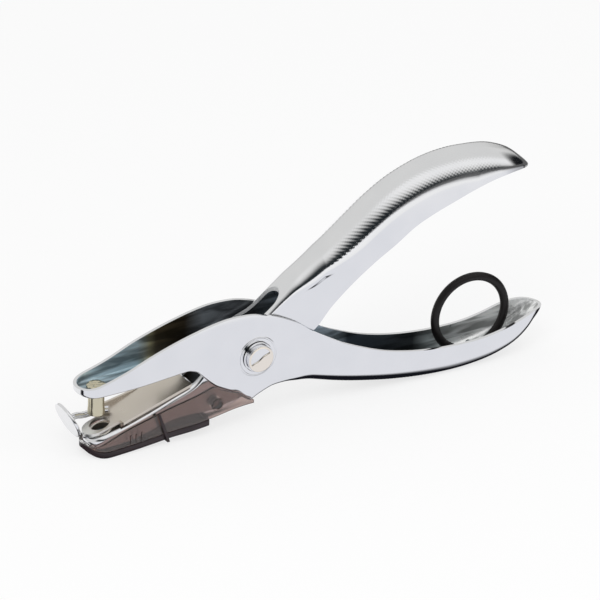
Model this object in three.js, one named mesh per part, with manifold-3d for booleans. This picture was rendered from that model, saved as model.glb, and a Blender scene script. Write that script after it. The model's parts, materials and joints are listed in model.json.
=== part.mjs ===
// Single hole punch: two crossed channel levers on one pivot, a punch pin in the upper jaw,
// a guide plate and die in the lower jaw, a return spring and a clip-on chip catcher.
// Millimetres, +Z up, jaws towards -X, handles towards +X, pivot axis along Y.
// Pieces are drawn with the pivot axis as origin, then stood on their own resting points.

import * as THREE from 'three';
import { mergeVertices } from 'three/addons/utils/BufferGeometryUtils.js';
import Module from 'manifold-3d';

const wasm = await Module();
wasm.setup();

// Driving dimensions shared by several pieces; a reach is measured from the pivot, a lead from
// the piece behind it
const dieReach = 48.1;
const pinLead = 1.5;
const pinReach = dieReach + pinLead;
const outerNoseLead = 6.8;
const jawReach = pinReach + outerNoseLead;
const handleReach = 96;
const gripReach = 91.6;
const levelDepth = 20;
const sheet = 1;
const outerHalf = 6;
const clearance = 0.3;
const overrun = 5;
const weldTolerance = 0.00001;
const leverSpacing = 3.3;
const catcherSpacing = 2.6;

// Outer lever: upper jaw and lower handle
const outerNoseHalf = 5.6;
const outerHandleHalf = 6.6;
const handleTipLength = 13;
const outerJawBend = 1.3;
const outerHandleBend = 3.4;
const jawFloorEnd = -30;
const handleWebStart = 13;
const nearSide = -1;
const farSide = 1;

// Inner lever: lower jaw and upper handle
const innerNoseLead = 5.3;
const innerNoseReach = dieReach + innerNoseLead;
const innerNoseHalf = 4.6;
const innerShoulderLength = 5;
const gripHalf = 7;
const gripTipLength = 12;
const gripBend = 5.6;
const innerJawBend = 1.1;
const lowerFloorEnd = -20;
const gripWebStart = 6.4;

// Pivot
const pivotShaftRadius = 2.5;
const pivotFlangeRadius = 4.6;
const pivotFlangeHeight = 0.4;
const pivotNeckRadius = 3.75;
const pivotNeckHeight = 0.4;
const pivotHeadRadius = 4.05;
const pivotHeadHeight = 0.9;
const pivotHeadCrown = 0.4;
const pivotNutRadius = 4.2;
const pivotNutHeight = 1.9;
const pivotNutCap = 0.8;
const sleeveWall = 0.7;

// Return spring
const springWire = 1;
const springGap = 0.5;
const springTurns = 3.5;
const springStepsPerTurn = 8;
const springSides = 5;
const springNeighbourShare = 3;
const upperLegReach = 33;
const lowerLegReach = 20.8;

// Punch pin
const pinLandRadius = 2.4;
const pinLandLength = 1.8;
const pinShankRadius = 2.25;
const pinLength = 8.3;
const pinTaperLength = 1.6;
const pinHeadRadius = 2.9;
const pinHeadHeight = 0.8;

// Guide plate over the lower jaw
const plateThickness = 0.9;
const plateHalf = 3.7;
const plateWingHalf = 5.4;
const plateFarWingHalf = 6.2;
const plateFarWingLead = 3;
const plateTipLead = 0.4;
const plateTipReach = innerNoseReach + plateTipLead;
const plateRearReach = 21.3;
const plateHoleLead = 0.4;
const plateHoleReach = dieReach + plateHoleLead;
const plateHoleRadius = 2.95;
const plateLift = 1.76;
const plateSlope = 0.3;
const flangeThickness = 0.8;
const flangeSetback = 4.5;
const flangeFrontReach = dieReach - flangeSetback;
const flangeFootLength = 1.8;
const flangeFrontDepth = 1.6;
const flangeTaperLength = 14;
const rearFootReach = 24;

// Die bush in the lower jaw's floor
const dieBoreRadius = 2.8;
const dieOuterRadius = 3.5;
const dieDepth = 1.8;

// Edge stop beside the jaws: a bent wire arm and a disc
const stopWireRadius = 1;
const stopRootSetback = 3.9;
const stopRootReach = dieReach - stopRootSetback;
const stopRootSide = 2;
const stopSide = 5.9;
const stopDiscLead = 1.7;
const stopDiscReach = plateTipReach + stopDiscLead;
const stopDiscDrop = 11.6;
const stopDiscRadius = 5.7;
const stopDiscThickness = 0.9;
const stopDiscLean = 23;

// Chip catcher
const catcherFrontHalf = 6.3;
const catcherWall = 0.8;
const catcherNoseLead = 0.9;
const catcherNoseReach = innerNoseReach + catcherNoseLead;
const catcherTailReach = 1.8;
const catcherBossReach = 13.6;
const catcherBossDrop = 11.6;
const catcherBossRadius = 1.6;
const catcherBossStand = 0.3;
const trayHeight = 2.1;
const trayFloor = 0.9;
const trayRearReach = 15.4;
const trayJoint = 0.2;
const ribThickness = 0.5;
const ribStand = 0.35;
const ribSpacing = 1.8;
const ribSetback = 12.3;
const ribFirstReach = catcherNoseReach - ribSetback;
const ribHeight = 3;
const ribCount = 3;
const clipReach = 30.4;
const clipLean = 0.32;
const clipWidth = 0.9;
const clipThickness = 0.6;
const clipStand = 0.3;

// Rubber ring on the lower handle and the staple that holds it
const ringRadius = 11.4;
const ringSection = 2.1;
const ringPlaceShare = 0.7604;
const ringPlace = handleReach * ringPlaceShare;
const stapleWire = 1.1;

// Where the lever flanks widen, as shares of the handle reach, and how far bends may go
const flareStartShare = 0.2;
const flareEndShare = 0.6;
const bulgeEndShare = 0.42;
const tuckStartShare = 0.4;
const tuckEndShare = 0.75;
const bendHalfShare = 0.85;
const bendHeightShare = 0.9;
const crownRadiusShare = 0.55;
const crownHeightShare = 0.7;
const stopPathShares = [[0, 0], [0.11, 0.36], [0.36, 0.74], [0.65, 1]];
const noseRestShare = 0.9;
const bellyRestShare = 0.68;

// Outlines as shares: x of the reach on its side of the pivot, z of the level depth
const outerRimShares = [
  [-1, 0.1], [-0.93, 0.13], [-0.83, 0.2], [-0.74, 0.28], [-0.62, 0.41], [-0.51, 0.51], [-0.39, 0.6],
  [-0.27, 0.67], [-0.16, 0.705], [-0.04, 0.685], [0.025, 0.625], [0.06, 0.565], [0.095, 0.485],
  [0.145, 0.34], [0.19, 0.165], [0.265, -0.07], [0.32, -0.22], [0.42, -0.43], [0.52, -0.565],
  [0.62, -0.64], [0.71, -0.665], [0.78, -0.655], [0.85, -0.6], [0.91, -0.525], [0.96, -0.49], [1, -0.51],
];
const outerBaseShares = [
  [-1, 0.005], [-0.97, -0.02], [-0.91, -0.03], [-0.7, -0.025], [-0.51, 0.01], [-0.405, 0.03],
  [-0.375, 0.01], [-0.345, -0.025], [-0.305, -0.14], [-0.25, -0.3], [-0.205, -0.385], [-0.13, -0.505],
  [-0.085, -0.6], [-0.04, -0.68], [0.005, -0.625], [0.05, -0.55], [0.095, -0.545], [0.14, -0.6],
  [0.19, -0.665], [0.27, -0.785], [0.35, -0.885], [0.45, -0.985], [0.55, -1.055], [0.64, -1.09],
  [0.72, -1.09], [0.8, -1.045], [0.87, -0.94], [0.93, -0.78], [0.975, -0.6], [1, -0.535],
];
const innerWebShares = [
  [-1, -0.74], [-0.93, -0.69], [-0.78, -0.6], [-0.62, -0.47], [-0.5, -0.355], [-0.4, -0.265],
  [-0.34, -0.17], [-0.26, 0.06], [-0.16, 0.33], [-0.05, 0.46], [0.035, 0.575], [0.1, 0.81], [0.155, 1.035],
  [0.225, 1.25], [0.3, 1.475], [0.37, 1.695], [0.44, 1.915], [0.51, 2.095], [0.585, 2.225],
  [0.655, 2.3], [0.73, 2.325], [0.8, 2.3], [0.86, 2.25], [0.91, 2.165], [0.945, 2.08], [0.975, 1.96],
  [1, 1.85],
];
const innerEdgeShares = [
  [-1, -0.875], [-0.9, -0.87], [-0.75, -0.835], [-0.55, -0.71], [-0.4, -0.68], [-0.25, -0.73],
  [-0.12, -0.66], [0, -0.46], [0.065, -0.27], [0.14, 0], [0.217, 0.165], [0.278, 0.475], [0.35, 0.785],
  [0.42, 1.03], [0.49, 1.23], [0.56, 1.44], [0.63, 1.575], [0.7, 1.68], [0.77, 1.78], [0.84, 1.86],
  [0.9, 1.895], [0.95, 1.88], [1, 1.815],
];

const catcherRimShares = [
  [-1, -0.84], [-0.96, -0.83], [-0.92, -0.78], [-0.885, -0.735], [-0.77, -0.63], [-0.65, -0.55],
  [-0.53, -0.468], [-0.41, -0.384], [-0.335, -0.33], [-0.27, -0.288], [-0.235, -0.35], [-0.155, -0.455],
  [-0.105, -0.5], [-0.05, -0.63], [0, -0.68],
];
const catcherBaseShares = [
  [-1, -0.93], [-0.985, -0.965], [-0.95, -1.005], [-0.9, -1.018], [-0.78, -1.005], [-0.65, -0.98],
  [-0.47, -0.935], [-0.25, -0.88], [0, -0.82],
];

const chrome = { color: 0xd9dadf, roughness: 0.12, metalness: 1 };
const plateSteel = { color: 0xc9c1b6, roughness: 0.3, metalness: 1 };
const pinSteel = { color: 0xcabf9c, roughness: 0.25, metalness: 1 };
const springSteel = { color: 0x9aa2a6, roughness: 0.3, metalness: 1 };
const smokePlastic = { color: 0x6e5e58, roughness: 0.2, metalness: 0 };
const darkPlastic = { color: 0x2b2528, roughness: 0.3, metalness: 0 };
const blackRubber = { color: 0x1a1416, roughness: 0.6, metalness: 0 };

const levers = new THREE.Group();

function addPiece(name, solid, finish) {
  const geometry = geometryOf(solid);
  geometry.computeVertexNormals();
  const mesh = new THREE.Mesh(geometry, new THREE.MeshStandardMaterial(finish));
  mesh.name = name;
  levers.add(mesh);
  return mesh;
}

// Solids for joining and cutting
function solidOf(geometry) {
  const bare = geometry.clone();
  bare.deleteAttribute('normal');
  bare.deleteAttribute('uv');
  const merged = mergeVertices(bare, weldTolerance);
  const vertProperties = new Float32Array(merged.attributes.position.array);
  const triVerts = new Uint32Array(merged.index.array);
  return new wasm.Manifold(new wasm.Mesh({ numProp: 3, vertProperties, triVerts }));
}

function geometryOf(solid) {
  const mesh = solid.getMesh();
  const geometry = new THREE.BufferGeometry();
  geometry.setAttribute('position', new THREE.Float32BufferAttribute(mesh.vertProperties, 3));
  geometry.setIndex(new THREE.Uint32BufferAttribute(mesh.triVerts, 1));
  return geometry;
}

// A height read off an outline: a smooth curve through shares of the reach and of the depth
function outline(shares, jawSize, handleSize, depth) {
  const points = shares.map(([x, z]) => new THREE.Vector2(x < 0 ? x * jawSize : x * handleSize, z * depth));
  const samples = new THREE.SplineCurve(points).getPoints(points.length * 12);
  return (x) => {
    const after = samples.findIndex((point) => point.x >= x);
    if (after <= 0) {
      return after === 0 ? samples[0].y : samples[samples.length - 1].y;
    }
    const low = samples[after - 1];
    const high = samples[after];
    return low.y + ((high.y - low.y) * (x - low.x)) / (high.x - low.x);
  };
}

// One cross-section of a channel in the plane X = x: straight walls and a web with rounded bends
function section({ x, half, edgeHalf, web, edge, bend }) {
  const up = Math.sign(edge - web);
  const radius = Math.min(bend, half * bendHalfShare, Math.abs(edge - web) * bendHeightShare);
  const steps = 5;
  const ring = [new THREE.Vector3(x, -edgeHalf, edge)];
  for (const side of [nearSide, farSide]) {
    for (let step = 0; step <= steps; step += 1) {
      const turn = (Math.PI / 2) * (side === nearSide ? step / steps : 1 - step / steps);
      const y = side * (half - radius + radius * Math.cos(turn));
      const z = web + up * (radius - radius * Math.sin(turn));
      ring.push(new THREE.Vector3(x, y, z));
    }
  }
  ring.push(new THREE.Vector3(x, edgeHalf, edge));
  return ring;
}

// A closed skin over equal rings, with flat ends, turned so that its faces point out
function loft(rings) {
  const count = rings[0].length;
  const positions = rings.flat().flatMap((point) => [point.x, point.y, point.z]);
  const faces = [];
  for (let row = 0; row < rings.length - 1; row += 1) {
    for (let column = 0; column < count; column += 1) {
      const next = (column + 1) % count;
      const a = row * count + column;
      const b = row * count + next;
      const c = a + count;
      const d = b + count;
      faces.push([a, b, d], [a, d, c]);
    }
  }
  const last = (rings.length - 1) * count;
  for (let column = 1; column < count - 1; column += 1) {
    faces.push([0, column + 1, column], [last, last + column, last + column + 1]);
  }
  const corner = (index) => new THREE.Vector3().fromArray(positions, index * 3);
  const volume = faces.reduce((sum, [a, b, c]) => sum + corner(a).dot(corner(b).cross(corner(c))), 0);
  const turned = volume < 0 ? faces.map(([a, b, c]) => [a, c, b]) : faces;
  const geometry = new THREE.BufferGeometry();
  geometry.setAttribute('position', new THREE.Float32BufferAttribute(positions, 3));
  geometry.setIndex(turned.flat());
  return geometry;
}

const extrusion = { bevelEnabled: false, curveSegments: 12 };

// A flat outline in X and Y, drawn up along Z between two heights
function upright(shape, low, high) {
  const geometry = new THREE.ExtrudeGeometry(shape, { ...extrusion, depth: high - low });
  return geometry.translate(0, 0, low);
}

// A flat outline in X and Z, drawn along Y between two sides
function sideways(shape, near, far) {
  const geometry = new THREE.ExtrudeGeometry(shape, { ...extrusion, depth: far - near });
  return geometry.rotateX(Math.PI / 2).translate(0, far, 0);
}

// A turned piece whose axis runs along Y, its profile given as radius and place along Y
function turned(profile, x, z, segments = 32) {
  const points = profile.map(([radius, place]) => new THREE.Vector2(radius, place));
  if (THREE.ShapeUtils.area(points) < 0) {
    points.reverse();
  }
  return new THREE.LatheGeometry(points, segments).translate(x, 0, z);
}

function block(low, high) {
  const size = high.map((value, axis) => value - low[axis]);
  const middle = high.map((value, axis) => (value + low[axis]) / 2);
  return new THREE.BoxGeometry(...size).translate(...middle);
}

// A slot outline in plan with a round end towards +X
function slotShape(start, end, half) {
  const shape = new THREE.Shape();
  shape.moveTo(start, -half);
  shape.lineTo(end, -half);
  shape.absarc(end, 0, half, -Math.PI / 2, Math.PI / 2, false);
  shape.lineTo(start, half);
  shape.closePath();
  return shape;
}

// Half the width of a lever in plan: round nose, straight flanks and an elliptical tip
function planHalf(x, nose, noseHalf, flank, tip, tipLength) {
  if (x < -nose + noseHalf) {
    const across = (x + nose - noseHalf) / noseHalf;
    return noseHalf * Math.sqrt(Math.max(0, 1 - across * across));
  }
  const side = flank(x);
  if (tipLength > 0 && x > tip - tipLength) {
    const along = (x - tip + tipLength) / tipLength;
    return side * Math.sqrt(Math.max(0, 1 - along * along));
  }
  return side;
}

function smoothStep(x, from, to) {
  return THREE.MathUtils.smoothstep(x, from, to);
}

// Places along a lever: crowded at the round ends, even between them
function stations(nose, noseHalf, tip, tipLength, spacing) {
  const places = [];
  const endSteps = 7;
  const firstAngle = 0.12;
  for (let step = 0; step < endSteps; step += 1) {
    const angle = firstAngle + ((Math.PI / 2 - firstAngle) * step) / endSteps;
    places.push(-nose + noseHalf - noseHalf * Math.cos(angle));
  }
  const start = -nose + noseHalf;
  const end = tip - tipLength;
  const count = Math.round((end - start) / spacing);
  for (let step = 0; step <= count; step += 1) {
    places.push(start + ((end - start) * step) / count);
  }
  for (let step = 1; step <= endSteps && tipLength > 0; step += 1) {
    const angle = ((Math.PI / 2 - firstAngle) * step) / endSteps;
    places.push(end + tipLength * Math.sin(angle));
  }
  return places;
}

// Thickness of a sheet measured straight up where its outline slopes
function uprightThickness(height, x, thickness) {
  const step = thickness / 2;
  const slope = (height(x + step) - height(x - step)) / (2 * step);
  return thickness * Math.min(Math.hypot(1, slope), 2);
}

// Outer lever
const outerRim = outline(outerRimShares, jawReach, handleReach, levelDepth);
const outerBase = outline(outerBaseShares, jawReach, handleReach, levelDepth);
const outerFlank = (x) => {
  const jaw = THREE.MathUtils.lerp(outerNoseHalf, outerHalf, smoothStep(x, -jawReach, jawFloorEnd));
  const flare = smoothStep(x, handleReach * flareStartShare, handleReach * flareEndShare);
  return THREE.MathUtils.lerp(jaw, outerHandleHalf, flare);
};
const outerBend = (x) => THREE.MathUtils.lerp(
  outerJawBend,
  outerHandleBend,
  smoothStep(x, handleWebStart - outerHalf, handleWebStart + outerHalf),
);
const innerFaceHalf = outerHalf - sheet;

function outerLever() {
  const skin = stations(jawReach, outerNoseHalf, handleReach, handleTipLength, leverSpacing).map((x) => {
    const half = planHalf(x, jawReach, outerNoseHalf, outerFlank, handleReach, handleTipLength);
    return section({ x, half, edgeHalf: half, web: outerBase(x), edge: outerRim(x), bend: outerBend(x) });
  });
  const hollowNose = jawReach - sheet;
  const hollowTip = handleReach - sheet;
  const noseHalf = outerNoseHalf - sheet;
  const hollow = stations(hollowNose, noseHalf, hollowTip, handleTipLength, leverSpacing).map((x) => {
    const flank = (place) => outerFlank(place) - sheet;
    const half = planHalf(x, hollowNose, noseHalf, flank, hollowTip, handleTipLength);
    const web = outerBase(x) + uprightThickness(outerBase, x, sheet);
    const edge = Math.max(outerRim(x), web) + overrun;
    return section({ x, half, edgeHalf: half, web, edge, bend: Math.max(outerBend(x) - sheet, sheet / 2) });
  });
  const webGap = slotShape(jawFloorEnd, handleWebStart, innerFaceHalf);
  const pivotBore = turned([
    [0, -outerHalf - overrun],
    [pivotShaftRadius + clearance, -outerHalf - overrun],
    [pivotShaftRadius + clearance, outerHalf + overrun],
    [0, outerHalf + overrun],
  ], 0, 0);
  const boreRadius = pinShankRadius + clearance;
  const pinBore = new THREE.CylinderGeometry(boreRadius, boreRadius, 2 * overrun, 32);
  pinBore.rotateX(Math.PI / 2).translate(-pinReach, 0, 0);
  return solidOf(loft(skin))
    .subtract(solidOf(loft(hollow)))
    .subtract(solidOf(upright(webGap, -levelDepth, levelDepth)))
    .subtract(solidOf(pivotBore))
    .subtract(solidOf(pinBore));
}

// Inner lever
const innerWeb = outline(innerWebShares, innerNoseReach, gripReach, levelDepth);
const innerEdge = outline(innerEdgeShares, innerNoseReach, gripReach, levelDepth);
const innerHalf = innerFaceHalf - clearance;
const gripFlank = (x) => {
  const noseEnd = -innerNoseReach + innerNoseHalf;
  const widening = smoothStep(x, noseEnd, noseEnd + innerShoulderLength);
  const jaw = THREE.MathUtils.lerp(innerNoseHalf, innerHalf, widening);
  return THREE.MathUtils.lerp(jaw, gripHalf, smoothStep(x, gripWebStart, gripReach * bulgeEndShare));
};
const gripEdgeFlank = (x) => THREE.MathUtils.lerp(
  Math.min(gripFlank(x), Math.max(innerHalf, gripFlank(x) - 2 * sheet)),
  gripFlank(x),
  smoothStep(x, gripReach * tuckStartShare, gripReach * tuckEndShare),
);
const innerBend = (x) => THREE.MathUtils.lerp(
  innerJawBend,
  gripBend,
  smoothStep(x, gripWebStart - sheet, gripWebStart + 2 * gripHalf),
);

function innerLever() {
  const skin = stations(innerNoseReach, innerNoseHalf, gripReach, gripTipLength, leverSpacing).map((x) => {
    const half = planHalf(x, innerNoseReach, innerNoseHalf, gripFlank, gripReach, gripTipLength);
    const edgeHalf = planHalf(x, innerNoseReach, innerNoseHalf, gripEdgeFlank, gripReach, gripTipLength);
    return section({ x, half, edgeHalf, web: innerWeb(x), edge: innerEdge(x), bend: innerBend(x) });
  });
  const hollowNose = innerNoseReach - sheet;
  const hollowTip = gripReach - sheet;
  const noseHalf = innerNoseHalf - sheet;
  const hollow = stations(hollowNose, noseHalf, hollowTip, gripTipLength, leverSpacing).map((x) => {
    const flank = (place) => gripFlank(place) - sheet;
    const edgeFlank = (place) => gripEdgeFlank(place) - sheet;
    const half = planHalf(x, hollowNose, noseHalf, flank, hollowTip, gripTipLength);
    const edgeHalf = planHalf(x, hollowNose, noseHalf, edgeFlank, hollowTip, gripTipLength);
    const web = innerWeb(x) - uprightThickness(innerWeb, x, sheet);
    const edge = Math.min(innerEdge(x), web) - overrun;
    return section({ x, half, edgeHalf, web, edge, bend: Math.max(innerBend(x) - sheet, sheet / 2) });
  });
  const webGap = slotShape(lowerFloorEnd, gripWebStart, innerHalf - sheet);
  const pivotBore = turned([
    [0, -innerHalf - overrun],
    [pivotShaftRadius + clearance, -innerHalf - overrun],
    [pivotShaftRadius + clearance, innerHalf + overrun],
    [0, innerHalf + overrun],
  ], 0, 0);
  const bossBore = turned([
    [0, -innerHalf - overrun],
    [catcherBossRadius + clearance, -innerHalf - overrun],
    [catcherBossRadius + clearance, innerHalf + overrun],
    [0, innerHalf + overrun],
  ], -catcherBossReach, -catcherBossDrop, 20);
  const seatShape = new THREE.Shape().absarc(-dieReach, 0, dieOuterRadius + clearance, 0, 2 * Math.PI);
  const dieSeat = upright(seatShape, -levelDepth, 0);
  let lever = solidOf(loft(skin))
    .subtract(solidOf(loft(hollow)))
    .subtract(solidOf(upright(webGap, -levelDepth, levelDepth)))
    .subtract(solidOf(pivotBore))
    .subtract(solidOf(bossBore))
    .subtract(solidOf(dieSeat));
  for (const [front, rear] of footPlaces) {
    for (const side of [nearSide, farSide]) {
      const inside = side * (plateHalf - flangeThickness - clearance);
      const outside = side * (plateHalf + clearance);
      const low = [front - clearance, Math.min(inside, outside), -levelDepth];
      const high = [rear + clearance, Math.max(inside, outside), 0];
      lever = lever.subtract(solidOf(block(low, high)));
    }
  }
  return lever;
}

// Feet of the guide plate, front and rear, as places along X
const footPlaces = [
  [-flangeFrontReach, -flangeFrontReach + flangeFootLength],
  [-rearFootReach, -rearFootReach + flangeFootLength],
];
const plateTop = (x) => innerWeb(-dieReach) + plateLift + plateSlope * (x + dieReach);

// Slides a level piece up the slope of the guide plate
function slopeWithPlate(geometry) {
  const shear = new THREE.Matrix4().makeShear(0, plateSlope, 0, 0, 0, 0);
  return geometry.applyMatrix4(shear).translate(0, 0, plateTop(0));
}

function guidePlate() {
  const plan = new THREE.Shape();
  const farWingFront = -flangeFrontReach - plateFarWingLead;
  plan.moveTo(-plateRearReach, plateFarWingHalf);
  plan.lineTo(farWingFront, plateFarWingHalf);
  plan.lineTo(farWingFront, plateHalf);
  plan.lineTo(-plateTipReach + plateHalf, plateHalf);
  plan.absarc(-plateTipReach + plateHalf, 0, plateHalf, Math.PI / 2, (3 * Math.PI) / 2, false);
  plan.lineTo(-flangeFrontReach, -plateHalf);
  plan.lineTo(-flangeFrontReach, -plateWingHalf);
  plan.lineTo(-plateRearReach, -plateWingHalf);
  plan.closePath();
  const hole = new THREE.Path().absarc(-plateHoleReach, 0, plateHoleRadius, 0, 2 * Math.PI, true);
  plan.holes.push(hole);
  let plate = solidOf(slopeWithPlate(upright(plan, -plateThickness, 0)));
  const flange = new THREE.Shape();
  const deepEnd = -flangeFrontReach + flangeFootLength;
  flange.moveTo(-flangeFrontReach, plateTop(-flangeFrontReach) - plateThickness / 2);
  flange.lineTo(-flangeFrontReach, plateTop(-flangeFrontReach) - flangeFrontDepth);
  flange.lineTo(deepEnd, plateTop(deepEnd) - flangeFrontDepth);
  flange.lineTo(deepEnd + flangeTaperLength, plateTop(deepEnd + flangeTaperLength) - plateThickness);
  flange.lineTo(deepEnd + flangeTaperLength, plateTop(deepEnd + flangeTaperLength) - plateThickness / 2);
  flange.closePath();
  for (const side of [nearSide, farSide]) {
    const inside = side * (plateHalf - flangeThickness);
    const outside = side * plateHalf;
    const near = Math.min(inside, outside);
    const far = Math.max(inside, outside);
    plate = plate.add(solidOf(sideways(flange, near, far)));
    for (const [front, rear] of footPlaces) {
      const foot = new THREE.Shape();
      foot.moveTo(front, plateTop(front) - plateThickness / 2);
      foot.lineTo(front, innerWeb(front) - sheet);
      foot.lineTo(rear, innerWeb(rear) - sheet);
      foot.lineTo(rear, plateTop(rear) - plateThickness / 2);
      foot.closePath();
      plate = plate.add(solidOf(sideways(foot, near, far)));
    }
  }
  return plate;
}

function dieBush() {
  const ring = new THREE.Shape().absarc(-dieReach, 0, dieOuterRadius, 0, 2 * Math.PI);
  ring.holes.push(new THREE.Path().absarc(-dieReach, 0, dieBoreRadius, 0, 2 * Math.PI, true));
  const bush = upright(ring, -dieDepth, 0);
  const shear = new THREE.Matrix4().makeShear(0, plateSlope, 0, 0, 0, 0);
  return solidOf(bush.applyMatrix4(shear).translate(0, 0, innerWeb(-dieReach) + plateSlope * dieReach));
}

function punchPin() {
  const floorTop = outerBase(-pinReach) + uprightThickness(outerBase, -pinReach, sheet);
  const headBase = floorTop + clearance;
  const edgeBreak = (pinLandRadius - pinShankRadius) / 2;
  const profile = [
    [0, -pinLength],
    [pinLandRadius - edgeBreak, -pinLength],
    [pinLandRadius, -pinLength + edgeBreak],
    [pinLandRadius, -pinLength + pinLandLength],
    [pinShankRadius, -pinLength + pinLandLength + pinTaperLength],
    [pinShankRadius, headBase],
    [pinHeadRadius, headBase],
    [pinHeadRadius, headBase + pinHeadHeight / 2],
    [pinHeadRadius * Math.SQRT1_2, headBase + pinHeadHeight],
    [0, headBase + pinHeadHeight],
  ].map(([radius, height]) => new THREE.Vector2(radius, height));
  return solidOf(new THREE.LatheGeometry(profile, 24).rotateX(Math.PI / 2).translate(-pinReach, 0, 0));
}

const nutBase = outerHalf + clearance;

function pivotBolt() {
  const seat = -outerHalf - clearance;
  const neckBase = seat - pivotFlangeHeight;
  const headBase = neckBase - pivotNeckHeight;
  const crownBase = headBase - pivotHeadHeight;
  const edgeBreak = pivotHeadHeight / 3;
  const shaftEnd = nutBase + pivotNutHeight - pivotNutCap - clearance;
  return solidOf(turned([
    [0, crownBase - pivotHeadCrown],
    [pivotHeadRadius * crownRadiusShare, crownBase - pivotHeadCrown * crownHeightShare],
    [pivotHeadRadius - edgeBreak, crownBase],
    [pivotHeadRadius, crownBase + edgeBreak],
    [pivotHeadRadius, headBase],
    [pivotNeckRadius, headBase],
    [pivotNeckRadius, neckBase],
    [pivotFlangeRadius, neckBase],
    [pivotFlangeRadius, seat],
    [pivotShaftRadius, seat],
    [pivotShaftRadius, shaftEnd],
    [0, shaftEnd],
  ], 0, 0, 40));
}

function pivotNut() {
  const top = nutBase + pivotNutHeight;
  const edgeBreak = pivotNutCap / 2;
  return solidOf(turned([
    [0, top - pivotNutCap],
    [pivotShaftRadius + clearance, top - pivotNutCap],
    [pivotShaftRadius + clearance, nutBase],
    [pivotNutRadius, nutBase],
    [pivotNutRadius, top - edgeBreak],
    [pivotNutRadius - edgeBreak, top],
    [0, top],
  ], 0, 0));
}

const sleeveInner = pivotShaftRadius + clearance;
const sleeveOuter = sleeveInner + sleeveWall;
const innerFace = innerHalf - sheet;

function pivotSleeve() {
  const end = innerFace - clearance;
  return solidOf(turned([
    [sleeveInner, -end],
    [sleeveOuter, -end],
    [sleeveOuter, end],
    [sleeveInner, end],
    [sleeveInner, -end],
  ], 0, 0));
}

// A round bar of equal rings along a line of points, carried round without twisting
function bar(points, radius, sides) {
  const tangents = points.map((point, index) => {
    const before = points[Math.max(0, index - 1)];
    const after = points[Math.min(points.length - 1, index + 1)];
    return after.clone().sub(before).normalize();
  });
  let across = new THREE.Vector3(0, 1, 0);
  if (Math.abs(tangents[0].y) > Math.SQRT1_2) {
    across = new THREE.Vector3(0, 0, 1);
  }
  const rings = points.map((point, index) => {
    const tangent = tangents[index];
    across.addScaledVector(tangent, -across.dot(tangent)).normalize();
    const up = tangent.clone().cross(across);
    return Array.from({ length: sides }, (unused, side) => {
      const turn = (2 * Math.PI * side) / sides;
      return point.clone()
        .addScaledVector(across, radius * Math.cos(turn))
        .addScaledVector(up, radius * Math.sin(turn));
    });
  });
  return loft(rings);
}

const coilRadius = sleeveOuter + clearance + springWire / 2;

function springLine() {
  const pitch = springWire + springGap;
  const halfSpan = (pitch * springTurns) / 2;
  const lowerEnd = innerWeb(-lowerLegReach + springWire) + clearance + springWire / 2;
  const upperEnd = outerBase(-upperLegReach) - clearance - springWire / 2;
  const points = [
    new THREE.Vector3(-lowerLegReach, halfSpan, lowerEnd),
    new THREE.Vector3(-lowerLegReach + springWire, halfSpan, lowerEnd),
  ];
  const steps = springTurns * springStepsPerTurn;
  for (let step = 0; step <= steps; step += 1) {
    const turn = -Math.PI / 2 + (2 * Math.PI * step) / springStepsPerTurn;
    const y = halfSpan - (pitch * step) / springStepsPerTurn;
    points.push(new THREE.Vector3(coilRadius * Math.cos(turn), y, coilRadius * Math.sin(turn)));
  }
  points.push(new THREE.Vector3(-upperLegReach + springWire, -halfSpan, upperEnd));
  points.push(new THREE.Vector3(-upperLegReach, -halfSpan, upperEnd));
  return points;
}

// Least gap between stretches of the wire that are not neighbours along it
function leastGap(points, wire) {
  const dense = [];
  points.slice(1).forEach((point, index) => {
    const pieces = Math.max(1, Math.ceil(point.distanceTo(points[index]) / (wire / 2)));
    for (let piece = 0; piece < pieces; piece += 1) {
      dense.push(points[index].clone().lerp(point, piece / pieces));
    }
  });
  const along = [0];
  dense.slice(1).forEach((point, index) => along.push(along[index] + point.distanceTo(dense[index])));
  let least = Infinity;
  dense.forEach((point, first) => {
    dense.forEach((other, second) => {
      if (along[second] - along[first] > springNeighbourShare * wire) {
        least = Math.min(least, point.distanceTo(other) - wire);
      }
    });
  });
  return least;
}

// Edge stop: the arm lies on the guide plate and leads past the nose to a disc
const stopDiscPlace = new THREE.Vector3(-stopDiscReach, stopSide, -stopDiscDrop);
const stopLean = THREE.MathUtils.degToRad(stopDiscLean);
const stopFacing = new THREE.Vector3(-Math.cos(stopLean), 0, -Math.sin(stopLean));

function stopArm() {
  const lift = clearance + stopWireRadius;
  const onPlate = (reach, side) => new THREE.Vector3(-reach, side, plateTop(-reach) + lift);
  const end = stopDiscPlace.clone().addScaledVector(stopFacing, -stopDiscThickness / 2 - clearance);
  const beforeEnd = end.clone().addScaledVector(stopFacing, -2 * stopWireRadius);
  const path = stopPathShares.map(([along, across]) => onPlate(
    THREE.MathUtils.lerp(stopRootReach, stopDiscReach, along),
    THREE.MathUtils.lerp(stopRootSide, stopSide, across),
  ));
  const curve = new THREE.CatmullRomCurve3([...path, beforeEnd, end]);
  return solidOf(bar(curve.getPoints(20), stopWireRadius, 10));
}

function stopDisc() {
  const rim = stopDiscThickness / 3;
  const profile = [
    [0, -stopDiscThickness / 2],
    [stopDiscRadius - rim, -stopDiscThickness / 2],
    [stopDiscRadius, -stopDiscThickness / 2 + rim],
    [stopDiscRadius, stopDiscThickness / 2 - rim],
    [stopDiscRadius - rim, stopDiscThickness / 2],
    [0, stopDiscThickness / 2],
  ].map(([radius, height]) => new THREE.Vector2(radius, height));
  const disc = new THREE.LatheGeometry(profile, 36).rotateZ(Math.PI / 2).rotateY(-stopLean);
  return solidOf(disc.translate(...stopDiscPlace.toArray()));
}

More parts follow.
